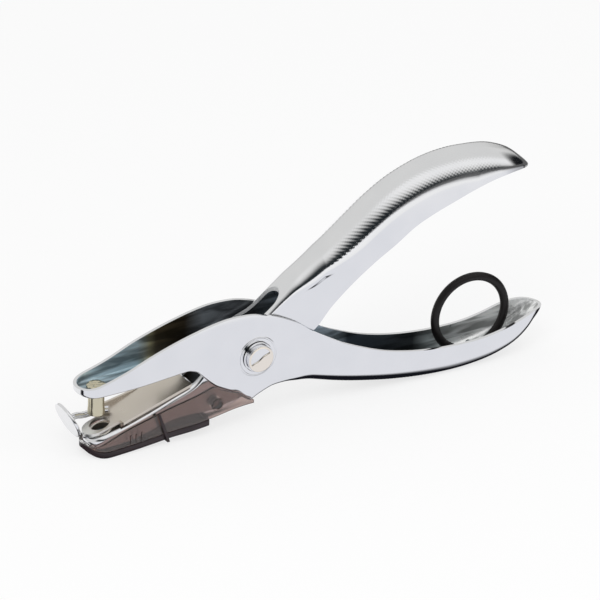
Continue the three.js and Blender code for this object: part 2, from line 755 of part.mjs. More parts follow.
// Chip catcher: side walls hung on two bosses, a tray below and a clip round both
const catcherRim = outline(catcherRimShares, catcherNoseReach, catcherNoseReach, levelDepth);
const catcherBase = outline(catcherBaseShares, catcherNoseReach, catcherNoseReach, levelDepth);
const catcherRearHalf = outerHalf + clearance + catcherWall;
const catcherFlank = (x) => THREE.MathUtils.lerp(
  catcherFrontHalf,
  catcherRearHalf,
  smoothStep(x, jawFloorEnd, lowerFloorEnd),
);

function catcherBand(rear, inset, low, high) {
  const nose = catcherNoseReach - inset;
  const noseHalf = catcherFrontHalf - inset;
  const flank = (x) => catcherFlank(x) - inset;
  const rings = stations(nose, noseHalf, rear, 0, catcherSpacing).map((x) => {
    const half = planHalf(x, nose, noseHalf, flank, rear, 0);
    return [
      new THREE.Vector3(x, -half, high(x)),
      new THREE.Vector3(x, -half, low(x)),
      new THREE.Vector3(x, half, low(x)),
      new THREE.Vector3(x, half, high(x)),
    ];
  });
  return solidOf(loft(rings));
}

const trayTop = (x) => catcherBase(x) + trayHeight;

function catcherShell() {
  const skin = catcherBand(-catcherTailReach, 0, (x) => {
    const tail = smoothStep(x, -trayRearReach - catcherWall, -catcherTailReach);
    return THREE.MathUtils.lerp(trayTop(x) + trayJoint, catcherRim(-catcherTailReach) - sheet, tail);
  }, catcherRim);
  const hollow = catcherBand(overrun, catcherWall, () => -2 * levelDepth, () => levelDepth);
  let shell = skin.subtract(hollow);
  for (const side of [nearSide, farSide]) {
    const boss = turned([
      [0, side * (innerHalf - sheet)],
      [catcherBossRadius, side * (innerHalf - sheet)],
      [catcherBossRadius, side * (catcherRearHalf + catcherBossStand)],
      [0, side * (catcherRearHalf + catcherBossStand)],
    ], -catcherBossReach, -catcherBossDrop, 20);
    shell = shell.add(solidOf(boss));
    for (let rib = 0; rib < ribCount; rib += 1) {
      const x = -ribFirstReach + rib * ribSpacing;
      const inside = side * (catcherFlank(x) - catcherWall / 2);
      const outside = side * (catcherFlank(x) + ribStand);
      const low = [x, Math.min(inside, outside), trayTop(x) + 2 * trayJoint];
      const high = [x + ribThickness, Math.max(inside, outside), trayTop(x) + ribHeight];
      shell = shell.add(solidOf(block(low, high)));
    }
  }
  return shell;
}

function catcherTray() {
  const skin = catcherBand(-trayRearReach, 0, catcherBase, trayTop);
  const rear = -trayRearReach - catcherWall;
  const floor = (x) => catcherBase(x) + trayFloor;
  const grooveTop = catcherBase(-clipReach) - clipStand + clipThickness + clearance;
  const grooveLow = [-clipReach - clearance, -catcherRearHalf, -levelDepth - overrun];
  const grooveHigh = [-clipReach + clipWidth + clearance, catcherRearHalf, grooveTop];
  return skin
    .subtract(catcherBand(rear, catcherWall, floor, (x) => trayTop(x) + overrun))
    .subtract(solidOf(block(grooveLow, grooveHigh)));
}

function catcherClip() {
  const x = -clipReach;
  const out = catcherFlank(x) + clearance;
  const top = catcherRim(x) - clearance;
  const bottom = catcherBase(x) - clipStand + clipThickness;
  const strap = new THREE.Shape();
  strap.moveTo(-out - clipThickness, top);
  strap.lineTo(-out - clipThickness, bottom - clipThickness);
  strap.lineTo(out + clipThickness, bottom - clipThickness);
  strap.lineTo(out + clipThickness, top);
  strap.lineTo(out, top);
  strap.lineTo(out, bottom);
  strap.lineTo(-out, bottom);
  strap.lineTo(-out, top);
  strap.closePath();
  const geometry = new THREE.ExtrudeGeometry(strap, { ...extrusion, depth: clipWidth });
  const lean = new THREE.Matrix4().makeShear(0, 0, 0, 0, -clipLean, 0);
  geometry.rotateX(Math.PI / 2).rotateZ(Math.PI / 2).translate(0, 0, -bottom);
  return solidOf(geometry.applyMatrix4(lean).translate(x, 0, bottom));
}

// Rubber ring standing in the lower handle, and the staple over its lowest point
const handleFloor = (x) => outerBase(x) + uprightThickness(outerBase, x, sheet);
const ringCentre = handleFloor(ringPlace) + clearance + ringSection / 2 + ringRadius;

function lockRing() {
  const ring = new THREE.TorusGeometry(ringRadius, ringSection / 2, 10, 48);
  return solidOf(ring.rotateX(Math.PI / 2).translate(ringPlace, 0, ringCentre));
}

function ringStaple() {
  const seat = handleFloor(ringPlace) + clearance;
  const inside = ringSection / 2 + clearance;
  const bend = inside + stapleWire / 2;
  const middle = seat + ringSection / 2;
  const points = [new THREE.Vector3(ringPlace, -bend, seat), new THREE.Vector3(ringPlace, -bend, middle)];
  const steps = 8;
  for (let step = 1; step < steps; step += 1) {
    const turn = Math.PI - (Math.PI * step) / steps;
    points.push(new THREE.Vector3(ringPlace, bend * Math.cos(turn), middle + bend * Math.sin(turn)));
  }
  points.push(new THREE.Vector3(ringPlace, bend, middle), new THREE.Vector3(ringPlace, bend, seat));
  return solidOf(bar(points, stapleWire / 2, 8));
}

addPiece('outer_lever', outerLever(), chrome);
addPiece('inner_lever', innerLever(), chrome);
addPiece('guide_plate', guidePlate(), plateSteel);
addPiece('die_bush', dieBush(), plateSteel);
addPiece('punch_pin', punchPin(), pinSteel);
addPiece('pivot_bolt', pivotBolt(), chrome);
addPiece('pivot_nut', pivotNut(), chrome);
addPiece('pivot_sleeve', pivotSleeve(), springSteel);
addPiece('return_spring', solidOf(bar(springLine(), springWire / 2, springSides)), springSteel);
addPiece('stop_arm', stopArm(), chrome);
addPiece('stop_disc', stopDisc(), chrome);
addPiece('catcher_shell', catcherShell(), smokePlastic);
addPiece('catcher_tray', catcherTray(), darkPlastic);
addPiece('catcher_clip', catcherClip(), darkPlastic);
addPiece('lock_ring', lockRing(), blackRubber);
addPiece('ring_staple', ringStaple(), springSteel);

console.log('return_spring least gap to itself, mm', leastGap(springLine(), springWire).toFixed(2));

// Stood level on the front of the catcher and the belly of the lower handle
const tool = new THREE.Group();
tool.add(levers);
const noseRest = -catcherNoseReach * noseRestShare;
const bellyRest = handleReach * bellyRestShare;
const restLine = new THREE.Vector2(bellyRest - noseRest, outerBase(bellyRest) - catcherBase(noseRest));
levers.rotation.y = Math.atan2(restLine.y, restLine.x);
const bounds = new THREE.Box3().setFromObject(tool, true);
const middle = bounds.getCenter(new THREE.Vector3());
levers.position.set(-middle.x, -middle.y, -bounds.min.z);

export default tool;
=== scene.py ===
# %% [markdown]
# # A single hole punch
# The tool is two channels pressed from 1 mm steel, crossed on one bolt and chromed. One holds the
# punch, the other the die, and a smoky plastic box under the jaws keeps the chips. The packed
# model gives every place and joint, so each piece here is made in the same frame, in metres.

# %% Load the frame
import bisect
import math
import bmesh
import bpy
from mathutils import Matrix, Vector
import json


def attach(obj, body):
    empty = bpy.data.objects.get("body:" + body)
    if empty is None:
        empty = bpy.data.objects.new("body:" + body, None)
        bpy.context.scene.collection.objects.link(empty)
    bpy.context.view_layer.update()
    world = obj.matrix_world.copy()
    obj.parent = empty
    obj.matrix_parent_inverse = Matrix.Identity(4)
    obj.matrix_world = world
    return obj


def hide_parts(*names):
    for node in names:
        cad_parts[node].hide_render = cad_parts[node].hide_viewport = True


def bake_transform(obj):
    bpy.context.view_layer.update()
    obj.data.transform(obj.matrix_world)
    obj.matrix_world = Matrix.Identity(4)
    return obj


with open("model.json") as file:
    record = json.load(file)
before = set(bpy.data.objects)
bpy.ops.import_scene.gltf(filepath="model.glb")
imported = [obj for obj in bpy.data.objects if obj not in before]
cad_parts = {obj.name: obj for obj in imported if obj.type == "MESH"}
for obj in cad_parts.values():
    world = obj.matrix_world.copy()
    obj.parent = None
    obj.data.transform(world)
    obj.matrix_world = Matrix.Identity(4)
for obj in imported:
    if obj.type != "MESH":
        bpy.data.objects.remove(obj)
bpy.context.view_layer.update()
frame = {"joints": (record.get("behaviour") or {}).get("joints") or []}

bpy.ops.object.select_all(action="DESELECT")
joints = {joint["name"]: joint for joint in frame["joints"]}
pivot = Vector(joints["handle_squeeze"]["pos_m"])
print("pivot at", [round(value, 5) for value in pivot])

# %% [markdown]
# ## From the maker's drawing to the frame
# Pressed parts are drawn from their main hole. Here each piece is shaped in millimetres with the
# pivot as origin, then laid down once, by the small angle at which the tool rests on the table.

# %% Lay a piece down in the frame
MM = 0.001
STAND_TILT = math.radians(-0.773)
LAY_DOWN = Matrix.Translation(pivot) @ Matrix.Rotation(STAND_TILT, 4, "Y") @ Matrix.Scale(MM, 4)


def only(piece):
    bpy.ops.object.select_all(action="DESELECT")
    piece.select_set(True)
    bpy.context.view_layer.objects.active = piece
    return piece


def mesh_step(piece, *steps):
    """Edit mode with everything selected, then each operator in turn."""
    only(piece)
    bpy.ops.object.mode_set(mode="EDIT")
    bpy.ops.mesh.select_all(action="SELECT")
    for operator, settings in steps:
        operator(**settings)
    bpy.ops.object.mode_set(mode="OBJECT")
    return piece


def apply_modifier(piece, kind, **settings):
    only(piece)
    modifier = piece.modifiers.new(kind, kind)
    for name, value in settings.items():
        setattr(modifier, name, value)
    bpy.ops.object.modifier_apply(modifier=modifier.name)
    return piece


def on_open_edges(piece, operator, **settings):
    """Edit mode with only the open edges selected, then the operator."""
    only(piece)
    bpy.ops.object.mode_set(mode="EDIT")
    bpy.ops.mesh.select_mode(type="EDGE")
    bpy.ops.mesh.select_all(action="DESELECT")
    bpy.ops.mesh.select_non_manifold()
    operator(**settings)
    bpy.ops.mesh.select_mode(type="VERT")
    bpy.ops.object.mode_set(mode="OBJECT")


WELD = 0.002


def welded(piece):
    merge = (bpy.ops.mesh.remove_doubles, {"threshold": WELD})
    outward = (bpy.ops.mesh.normals_make_consistent, {"inside": False})
    return mesh_step(piece, merge, outward)


def measure(piece, step):
    """Prints points, volume in mm3 and open edges, which should be none."""
    measured = bmesh.new()
    measured.from_mesh(piece.data)
    in_mm = 1 if max(piece.dimensions) > 1 else MM ** 3
    gaps = sum(not edge.is_manifold for edge in measured.edges)
    print(piece.name, step, len(measured.verts), "points",
          round(measured.calc_volume() / in_mm, 1), "mm3 open", gaps)
    measured.free()


SMOOTH_ANGLE = math.radians(38)
LATHE_ANGLE = math.radians(30)
MOULDED_ANGLE = math.radians(35)
WIRE_ANGLE = math.radians(50)
SOFT_ANGLE = math.radians(60)


def finish_piece(piece, body, stands_for=None, finish=None, smooth=SMOOTH_ANGLE):
    """Lays a piece down, gives it its finish and hands it to the frame."""
    if finish:
        piece.data.materials.clear()
        piece.data.materials.append(finish)
    piece.data.transform(LAY_DOWN)
    only(piece)
    bpy.ops.object.shade_smooth_by_angle(angle=smooth)
    if body:
        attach(piece, body)
    if stands_for:
        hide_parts(stands_for)
    piece.select_set(False)
    measure(piece, "finished")
    return piece


# %% [markdown]
# ## Colours and nodes
# Colours are read off the photograph as screen values, so one function turns them into the
# linear values that a shader wants. One small helper adds a node with its settings and links, and
# one makes a ramp of colours.

# %% Colour and node helpers
def linear(code):
    channels = [int(code[place:place + 2], 16) / 255 for place in (1, 3, 5)]
    bent = [c / 12.92 if c <= 0.04045 else ((c + 0.055) / 1.055) ** 2.4 for c in channels]
    return (*bent, 1.0)


def add_node(tree, kind, inputs=None, **settings):
    node = tree.nodes.new(kind)
    for name, value in settings.items():
        setattr(node, name, value)
    for name, value in (inputs or {}).items():
        if isinstance(value, bpy.types.NodeSocket):
            tree.links.new(value, node.inputs[name])
        else:
            node.inputs[name].default_value = value
    return node


def ramp(tree, value, stops):
    """Colours that run through (place, screen code) stops."""
    node = add_node(tree, "ShaderNodeValToRGB", {"Fac": value})
    elements = node.color_ramp.elements
    while len(elements) < len(stops):
        elements.new(0.5)
    for element, (place, code) in zip(elements, stops):
        element.position = place
        element.color = linear(code)
    return node.outputs["Color"]


def new_material(name, colour, roughness, metallic=0.0, **sockets):
    made = bpy.data.materials.new(name)
    made.use_nodes = True
    shader = made.node_tree.nodes["Principled BSDF"]
    shader.inputs["Base Color"].default_value = linear(colour)
    shader.inputs["Roughness"].default_value = roughness
    shader.inputs["Metallic"].default_value = metallic
    for socket, value in sockets.items():
        shader.inputs[socket.replace("_", " ")].default_value = value
    return made, made.node_tree, shader


# %% [markdown]
# Patterns are set out in millimetres on the object's own coordinates, so they keep their size. The
# helpers here make a pattern, carry its values to another range, and work them into a surface.

# %% Patterns and surfaces
def per_mm(size):
    """Texture scale for a pattern of this size in millimetres."""
    return 1 / (size * MM)


def object_place(tree):
    return add_node(tree, "ShaderNodeTexCoord").outputs["Object"]


def noise(tree, place, size, detail=2.0):
    """Noise with lumps of this size in millimetres."""
    return add_node(tree, "ShaderNodeTexNoise", {
        "Vector": place, "Scale": per_mm(size), "Detail": detail}).outputs["Fac"]


def carried(tree, value, low, high, to_low=0.0, to_high=1.0):
    """A value from one range carried to another."""
    return add_node(tree, "ShaderNodeMapRange", {
        "Value": value, "From Min": low, "From Max": high,
        "To Min": to_low, "To Max": to_high}).outputs["Result"]


def worked(tree, operation, *values):
    return add_node(tree, "ShaderNodeMath", dict(enumerate(values)), operation=operation).outputs[0]


def along_tool(tree, start, end):
    """0 at x = start and 1 at x = end, in metres."""
    split = add_node(tree, "ShaderNodeSeparateXYZ", {"Vector": object_place(tree)})
    return carried(tree, split.outputs["X"], start, end)


def mixed(tree, share, first, second):
    """Two shaders, the second where share is 1."""
    return add_node(tree, "ShaderNodeMixShader", {
        0: share, 1: first.outputs[0], 2: second.outputs[0]})


def seen_directly(tree, path):
    """1 for rays from the camera, through clear plastic too."""
    return worked(tree, "MAXIMUM", path.outputs["Is Camera Ray"], path.outputs["Is Transmission Ray"])


def bumped(tree, shader, value, strength, depth):
    """Relief of this depth in millimetres."""
    bump = add_node(tree, "ShaderNodeBump", {
        "Height": value, "Strength": strength, "Distance": depth * MM})
    tree.links.new(bump.outputs["Normal"], shader.inputs["Normal"])


def tinted(tree, shader, value, stops):
    tree.links.new(ramp(tree, value, stops), shader.inputs["Base Color"])


# %% [markdown]
# ## Chrome on pressed steel
# Bright chrome over nickel is a mirror that follows every wave of the pressed sheet. Polishing
# leaves lines of about a tenth of a millimetre along the tool, and handling dulls it in patches, so
# roughness wanders a little and a faint bump is stretched along the lever.

# %% Outside and inside of the levers
PATCH_SIZE = 9
GRAIN_HEIGHT = 0.02


def polished(tree, shader, along, across, height, rough_low, rough_high):
    """Lines of this size in millimetres, and patches between two roughnesses; gives the patches."""
    place = object_place(tree)
    lines = add_node(tree, "ShaderNodeMapping", {
        "Vector": place, "Scale": (per_mm(along), per_mm(across), per_mm(across))})
    grain = add_node(tree, "ShaderNodeTexNoise", {
        "Vector": lines.outputs["Vector"], "Scale": 1.0, "Detail": 3.0})
    patches = noise(tree, place, PATCH_SIZE)
    rough = carried(tree, patches, 0.3, 0.7, rough_low, rough_high)
    tree.links.new(rough, shader.inputs["Roughness"])
    bumped(tree, shader, grain.outputs["Fac"], height, GRAIN_HEIGHT)
    return patches


chrome, tree, shader = new_material("bright_chrome_on_steel", "#ECECEF", 0.1, 1.0)
patches = polished(tree, shader, along=3.0, across=0.12, height=0.25, rough_low=0.07, rough_high=0.13)
tinted(tree, shader, patches, [(0.0, "#E7E8EB"), (1.0, "#F2F2F4")])

# The inside is plated but never buffed, so it is dull. Its colour along the tool is painted reflection
# and shade: blue grey at the nose, near black brown in the jaw, dark and pale bands at the neck, pale near
# the tip
inside_steel, tree, shader = new_material("unpolished_plating_inside", "#8C979C", 0.36, 0.62)
polished(tree, shader, along=2.0, across=0.3, height=0.5, rough_low=0.26, rough_high=0.46)
TOOL_HALF_LENGTH = 0.077
spread = along_tool(tree, -TOOL_HALF_LENGTH, TOOL_HALF_LENGTH)
BLUE_JAW = [(0.0, "#C2D0D6"), (0.16, "#A7B9C1")]
DARK_JAW_PAINTED_SHADE = [(0.185, "#8A876C"), (0.2, "#4A4230"), (0.26, "#3A3226")]
NECK = [(0.3, "#7A8086"), (0.4, "#44474A"), (0.53, "#C2D0DB"), (0.585, "#B4C2CD")]
HANDLE = [(0.61, "#3C454E"), (0.75, "#34383B"), (0.79, "#A8AFB1"), (0.84, "#E6E9E9"), (1.0, "#F2F3F3")]
# Painted reflection and shade inside the channel, set by the place along the tool
painted_inside_light = ramp(tree, spread, BLUE_JAW + DARK_JAW_PAINTED_SHADE + NECK + HANDLE)
STREAK_LONG, STREAK_WIDE, STREAK_LEAN = 16, 2.2, 0.5
streaks = add_node(tree, "ShaderNodeMapping", {
    "Vector": object_place(tree), "Rotation": (0.0, STREAK_LEAN, 0.0),
    "Scale": (per_mm(STREAK_LONG), per_mm(STREAK_WIDE), per_mm(STREAK_WIDE))})
streak = add_node(tree, "ShaderNodeTexNoise", {
    "Vector": streaks.outputs["Vector"], "Scale": 1.0, "Detail": 2.0, "Distortion": 0.4})
streak_range = carried(tree, streak.outputs["Fac"], 0.38, 0.62, 0.45, 1.4)
MIX_A, MIX_B, MIX_RESULT = 6, 7, 2
# Painted streaks of reflection and shade multiply the painted inside colour
streaked_painted_light = add_node(tree, "ShaderNodeMix", {
    "Factor": 1.0, MIX_A: painted_inside_light, MIX_B: streak_range}, data_type="RGBA", blend_type="MULTIPLY")
tree.links.new(streaked_painted_light.outputs[MIX_RESULT], shader.inputs["Base Color"])

# Where a press sheared the sheet the edge is rough, so it scatters light under the plating
sheared_steel, tree, shader = new_material("plated_sheared_edge", "#E6E7E8", 0.5, 0.35)
polished(tree, shader, along=0.5, across=0.15, height=0.6, rough_low=0.4, rough_high=0.6)
print("lever finishes:", chrome.name, inside_steel.name, sheared_steel.name)

# %% [markdown]
# ## The other steels
# The guide plate is satin nickel, brushed along its length and rubbed bright at the nose, where
# paper passes. The punch is ground round, so its lines run about its own axis, and hardening leaves
# it straw yellow. Spring wire is drawn and dull, and the bolt's face is plain nickel.

# %% Guide plate, punch and wire
plate_steel, tree, shader = new_material("brushed_nickel_plate", "#C9C1B6", 0.3, 1.0)
polished(tree, shader, along=4.0, across=0.1, height=0.5, rough_low=0.26, rough_high=0.36)
WORN_TO, WORN_FROM = -0.073, -0.064
worn = along_tool(tree, WORN_TO, WORN_FROM)
tinted(tree, shader, worn, [(0.0, "#E9EAE8"), (1.0, "#D6CEC3")])

punch_steel, tree, shader = new_material("ground_tool_steel", "#D3CCB4", 0.24, 1.0)
polished(tree, shader, along=0.12, across=3.0, height=0.35, rough_low=0.18, rough_high=0.3)

wire_steel, tree, shader = new_material("drawn_spring_wire", "#9AA2A6", 0.3, 1.0)
polished(tree, shader, along=1.0, across=0.1, height=0.4, rough_low=0.24, rough_high=0.36)

bolt_nickel, tree, shader = new_material("nickel_bolt_face", "#F4ECE2", 0.16, 1.0)
polished(tree, shader, along=0.2, across=0.2, height=0.3, rough_low=0.1, rough_high=0.2)
print("steels:", plate_steel.name, punch_steel.name, wire_steel.name, bolt_nickel.name)

# %% [markdown]
# ## Plastics and rubber
# The chip box is moulded polystyrene with a smoke tint. Its surface is nearly clear, and the dye is
# in the plastic itself, so a longer way through it comes out browner. The tray and strap hold much
# more dye and let no light through. The ring is moulded rubber with a fine grain.

# %% Smoke plastic, dark plastic and rubber
smoke, tree, shader = new_material(
    "smoke_polystyrene", "#E9E1DE", 0.07, 0.0, Transmission_Weight=0.94, IOR=1.5)
flow = noise(tree, object_place(tree), 5)
tinted(tree, shader, flow, [(0.0, "#DED3CF"), (1.0, "#EEE8E5")])
DYE, DYE_DENSITY = (0.34, 0.13, 0.06, 1.0), 1150.0
dye = add_node(tree, "ShaderNodeVolumeAbsorption", {"Color": DYE, "Density": DYE_DENSITY})
tree.links.new(dye.outputs["Volume"], tree.nodes["Material Output"].inputs["Volume"])

dark_plastic, tree, shader = new_material(
    "dark_smoke_plastic", "#2B2528", 0.2, 0.0, IOR=1.5, Specular_IOR_Level=0.3)
flow = noise(tree, object_place(tree), 6, detail=3.0)
tinted(tree, shader, flow, [(0.0, "#221D20"), (1.0, "#3A3033")])
bumped(tree, shader, flow, 0.3, 0.05)

rubber, tree, shader = new_material(
    "black_moulded_rubber", "#100C0D", 0.42, 0.0, IOR=1.52, Specular_IOR_Level=0.3)
grain = noise(tree, object_place(tree), 0.25)
dust = carried(tree, grain, 0.0, 1.0, 0.34, 0.52)
tree.links.new(dust, shader.inputs["Roughness"])
bumped(tree, shader, grain, 0.35, 0.03)
print("plastics:", smoke.name, dark_plastic.name, rubber.name)

# %% [markdown]
# ## Outlines of the pressed sheet
# A pressed channel is known by a few curves: the rim of its walls, its web, and how wide it is in
# plan. They are smooth curves through measured points, so both levers come from one function. A
# point is a share of the reach, to the jaw or to the handle, and a share of the level depth.

# %% Sizes in millimetres and outline curves
LEVEL = 20
SHEET = 1
JAW_REACH = 56.4
HANDLE_REACH = 96
INNER_NOSE_REACH = 53.4
GRIP_REACH = 91.6
CATCHER_NOSE_REACH = 54.3
OUTER_RIM = [
    (-1, 0.1), (-0.93, 0.13), (-0.83, 0.2), (-0.74, 0.28), (-0.62, 0.41), (-0.51, 0.51), (-0.39, 0.6),
    (-0.27, 0.67), (-0.16, 0.705), (-0.04, 0.685), (0.025, 0.625), (0.06, 0.565), (0.095, 0.485),
    (0.145, 0.34), (0.19, 0.165), (0.265, -0.07), (0.32, -0.22), (0.42, -0.43), (0.52, -0.565),
    (0.62, -0.64), (0.71, -0.665), (0.78, -0.655), (0.85, -0.6), (0.91, -0.525), (0.96, -0.49),
    (1, -0.51)]
OUTER_BASE = [
    (-1, 0.005), (-0.97, -0.02), (-0.91, -0.03), (-0.7, -0.025), (-0.51, 0.01), (-0.405, 0.03),
    (-0.375, 0.01), (-0.345, -0.025), (-0.305, -0.14), (-0.25, -0.3), (-0.205, -0.385), (-0.13, -0.505),
    (-0.085, -0.6), (-0.04, -0.68), (0.005, -0.625), (0.05, -0.55), (0.095, -0.545), (0.14, -0.6),
    (0.19, -0.665), (0.27, -0.785), (0.35, -0.885), (0.45, -0.985), (0.55, -1.055), (0.64, -1.09),
    (0.72, -1.09), (0.8, -1.045), (0.87, -0.94), (0.93, -0.78), (0.975, -0.6), (1, -0.535)]
INNER_WEB = [
    (-1, -0.74), (-0.93, -0.69), (-0.78, -0.6), (-0.62, -0.47), (-0.5, -0.355), (-0.4, -0.265),
    (-0.34, -0.17), (-0.26, 0.06), (-0.16, 0.33), (-0.05, 0.46), (0.035, 0.575), (0.1, 0.81),
    (0.155, 1.035), (0.225, 1.25), (0.3, 1.475), (0.37, 1.695), (0.44, 1.915), (0.51, 2.095),
    (0.585, 2.225), (0.655, 2.3), (0.73, 2.325), (0.8, 2.3), (0.86, 2.25), (0.91, 2.165),
    (0.945, 2.08), (0.975, 1.96), (1, 1.85)]
INNER_EDGE = [
    (-1, -0.875), (-0.9, -0.87), (-0.75, -0.835), (-0.55, -0.71), (-0.4, -0.68), (-0.25, -0.73),
    (-0.12, -0.66), (0, -0.46), (0.065, -0.27), (0.14, 0), (0.217, 0.165), (0.278, 0.475),
    (0.35, 0.785), (0.42, 1.03), (0.49, 1.23), (0.56, 1.44), (0.63, 1.575), (0.7, 1.68),
    (0.77, 1.78), (0.84, 1.86), (0.9, 1.895), (0.95, 1.88), (1, 1.815)]
CATCHER_RIM = [
    (-1, -0.84), (-0.96, -0.83), (-0.92, -0.78), (-0.885, -0.735), (-0.77, -0.63), (-0.65, -0.55),
    (-0.53, -0.468), (-0.41, -0.384), (-0.335, -0.33), (-0.27, -0.288), (-0.235, -0.35),
    (-0.155, -0.455), (-0.105, -0.5), (-0.05, -0.63), (0, -0.68)]
CATCHER_BASE = [
    (-1, -0.93), (-0.985, -0.965), (-0.95, -1.005), (-0.9, -1.018), (-0.78, -1.005), (-0.65, -0.98),
    (-0.47, -0.935), (-0.25, -0.88), (0, -0.82)]


def mix(low, high, share):
    return low + (high - low) * share


def ease(value, start, end):
    share = min(max((value - start) / (end - start), 0), 1)
    return share * share * (3 - 2 * share)


SAMPLES_EACH = 12


def outline(shares, jaw, handle):
    """Height at x: a smooth curve through shares of the reach and of the level depth."""
    points = [Vector((x * (jaw if x < 0 else handle), z * LEVEL)) for x, z in shares]
    last = len(points) - 1
    samples = []
    steps = len(points) * SAMPLES_EACH
    for step in range(steps + 1):
        start, part = divmod(last * step / steps, 1)
        p0, p1, p2, p3 = (points[min(max(int(start) + i, 0), last)] for i in (-1, 0, 1, 2))
        v0, v1 = (p2 - p0) / 2, (p3 - p1) / 2
        samples.append(p1 + v0 * part + (-3 * p1 + 3 * p2 - 2 * v0 - v1) * part ** 2
                       + (2 * p1 - 2 * p2 + v0 + v1) * part ** 3)
    places = [sample.x for sample in samples]

    def height(x):
        after = min(max(bisect.bisect_left(places, x), 1), len(places) - 1)
        low, high = samples[after - 1], samples[after]
        share = min(max((x - low.x) / (high.x - low.x), 0), 1)
        return mix(low.y, high.y, share)
    return height


outer_rim = outline(OUTER_RIM, JAW_REACH, HANDLE_REACH)
outer_base = outline(OUTER_BASE, JAW_REACH, HANDLE_REACH)
inner_web = outline(INNER_WEB, INNER_NOSE_REACH, GRIP_REACH)
inner_edge = outline(INNER_EDGE, INNER_NOSE_REACH, GRIP_REACH)
catcher_rim = outline(CATCHER_RIM, CATCHER_NOSE_REACH, CATCHER_NOSE_REACH)
catcher_base = outline(CATCHER_BASE, CATCHER_NOSE_REACH, CATCHER_NOSE_REACH)
print("upper handle at its highest, mm", round(max(inner_web(x) for x in range(91)), 2))

# %% [markdown]
# ## A channel as a bathtub
# Each pressing is a tub: a wall runs round the whole outline in plan, turns through a bend, and a
# web fills the middle. A flat grid has just that order of points, one row for each place round
# the outline and one column for each step from rim to middle, so the grid's points are carried
# to their places and the seams welded. It keeps every row where it is wanted, which pulling a
# block into shape with a mouse would not.

# %% Rows round the outline
TIP_LEAN = 0.5


def plan_rows(nose, nose_half, flank, tip, tip_length, spacing, end_steps=14):
    """(x, half width, x of the middle line) from nose to tip; a tip of no length stays open."""
    rows = []
    for step in range(end_steps):
        turn = (math.pi / 2) * step / end_steps
        x = -nose + nose_half * (1 - math.cos(turn))
        rows.append((x, nose_half * math.sin(turn), -nose + nose_half))
    x = -nose + nose_half
    end = tip - tip_length
    while x < end:
        rows.append((x, flank(x), x))
        x += spacing(x)
    if tip_length == 0:
        return rows + [(tip, flank(tip), tip)]
    for step in range(end_steps + 1):
        turn = (math.pi / 2) * step / end_steps
        x = end + tip_length * math.sin(turn)
        rows.append((x, flank(x) * math.cos(turn), mix(end, x, TIP_LEAN)))
    return rows


def tub(name, rows, columns, place):
    """A grid whose points go to place(row, side, column), welded where rows meet."""
    last = len(rows) - 1
    bpy.ops.mesh.primitive_grid_add(x_subdivisions=2 * last, y_subdivisions=columns, size=2)
    piece = bpy.context.object
    piece.name = name
    across = len({round(vertex.co.x, 5) for vertex in piece.data.vertices}) - 1
    print(name, "rows", across, "of", 2 * last)
    lines = {}
    for vertex in piece.data.vertices:
        row = round((vertex.co.x + 1) / 2 * across)
        column = round((vertex.co.y + 1) / 2 * columns)
        side = -1 if row <= last else 1
        vertex.co = place(rows[min(row, 2 * last - row)], side, column)
        lines.setdefault(row, {})[column] = vertex
    walked = piece.data.attributes.new("from_middle", "FLOAT", "POINT")
    for row, line in lines.items():
        distance = 0
        for column in range(columns, 0, -1):
            walked.data[line[column].index].value = distance
            distance += (line[column].co - line[column - 1].co).length
        walked.data[line[0].index].value = distance
    return welded(piece)


def reach_of(row):
    """How far the outline lies from the middle line."""
    x, half, middle = row
    return max(math.hypot(x - middle, half), 0.01)


def drawn_in(row, side, inset):
    """A point of the outline carried towards the middle line: x, y and the share of the way."""
    x, half, middle = row
    along = inset / reach_of(row)
    return mix(x, middle, along), side * half * (1 - along), along


def bent_section(column, tall, bend_in, bend_up, reach, wall_steps, bend_steps, web_steps):
    """(inset, height) down a wall, round a bend and in to the middle."""
    if column <= wall_steps:
        return 0, mix(tall, bend_up, column / wall_steps)
    if column <= wall_steps + bend_steps:
        turn = (math.pi / 2) * (column - wall_steps) / bend_steps
        return bend_in * (1 - math.cos(turn)), bend_up * (1 - math.sin(turn))
    return mix(bend_in, reach, (column - wall_steps - bend_steps) / web_steps), 0


def face_out(piece, direction):
    """A lone sheet has no inside, so its outermost face decides which way it faces."""
    direction = Vector(direction)
    outermost = max(piece.data.polygons, key=lambda face: face.center.dot(direction))
    if outermost.normal.dot(direction) < 0:
        mesh_step(piece, (bpy.ops.mesh.flip_normals, {}))
    return piece


# %% [markdown]
# ## The lower lever
# It is the upper jaw, the two cheeks and the lower handle in one pressing. Its belly is knurled
# along the bend so that it does not slip, with points in diamonds, 1.1 mm apart along the tool.
# Rows lie closer together where the knurl comes.

# %% Outer lever: skin
OUTER_NOSE_HALF = 5.6
OUTER_HALF = 6
OUTER_HANDLE_HALF = 6.6
HANDLE_TIP = 13
HANDLE_SWELL = (HANDLE_REACH * 0.2, HANDLE_REACH * 0.6)
JAW_FLOOR_END = -30
OUTER_JAW_BEND, OUTER_HANDLE_BEND, OUTER_BEND_RUN = 0.8, 3.4, (7, 19)
WALL_STEPS, BEND_STEPS, OUTER_WEB_STEPS = 6, 12, 8
PLAIN_ROW = 0.9
BELLY_ROW, BELLY_ROWS = 0.3, (18, 66)
TIGHTEST_BEND, WIDEST_SHARE = 0.25, 0.9


def outer_flank(x):
    jaw = mix(OUTER_NOSE_HALF, OUTER_HALF, ease(x, -JAW_REACH, JAW_FLOOR_END))
    return mix(jaw, OUTER_HANDLE_HALF, ease(x, *HANDLE_SWELL))


def outer_bend(x):
    return mix(OUTER_JAW_BEND, OUTER_HANDLE_BEND, ease(x, *OUTER_BEND_RUN))


def row_spacing(fine, start, end):
    """Plain rows, and fine ones between start and end."""
    return lambda x: fine if start < x < end else PLAIN_ROW


def sheet_upright(height, x, thickness):
    """Thickness of a sheet measured straight up where it slopes."""
    slope = (height(x + thickness / 2) - height(x - thickness / 2)) / thickness
    return thickness * min(math.hypot(1, slope), 2)


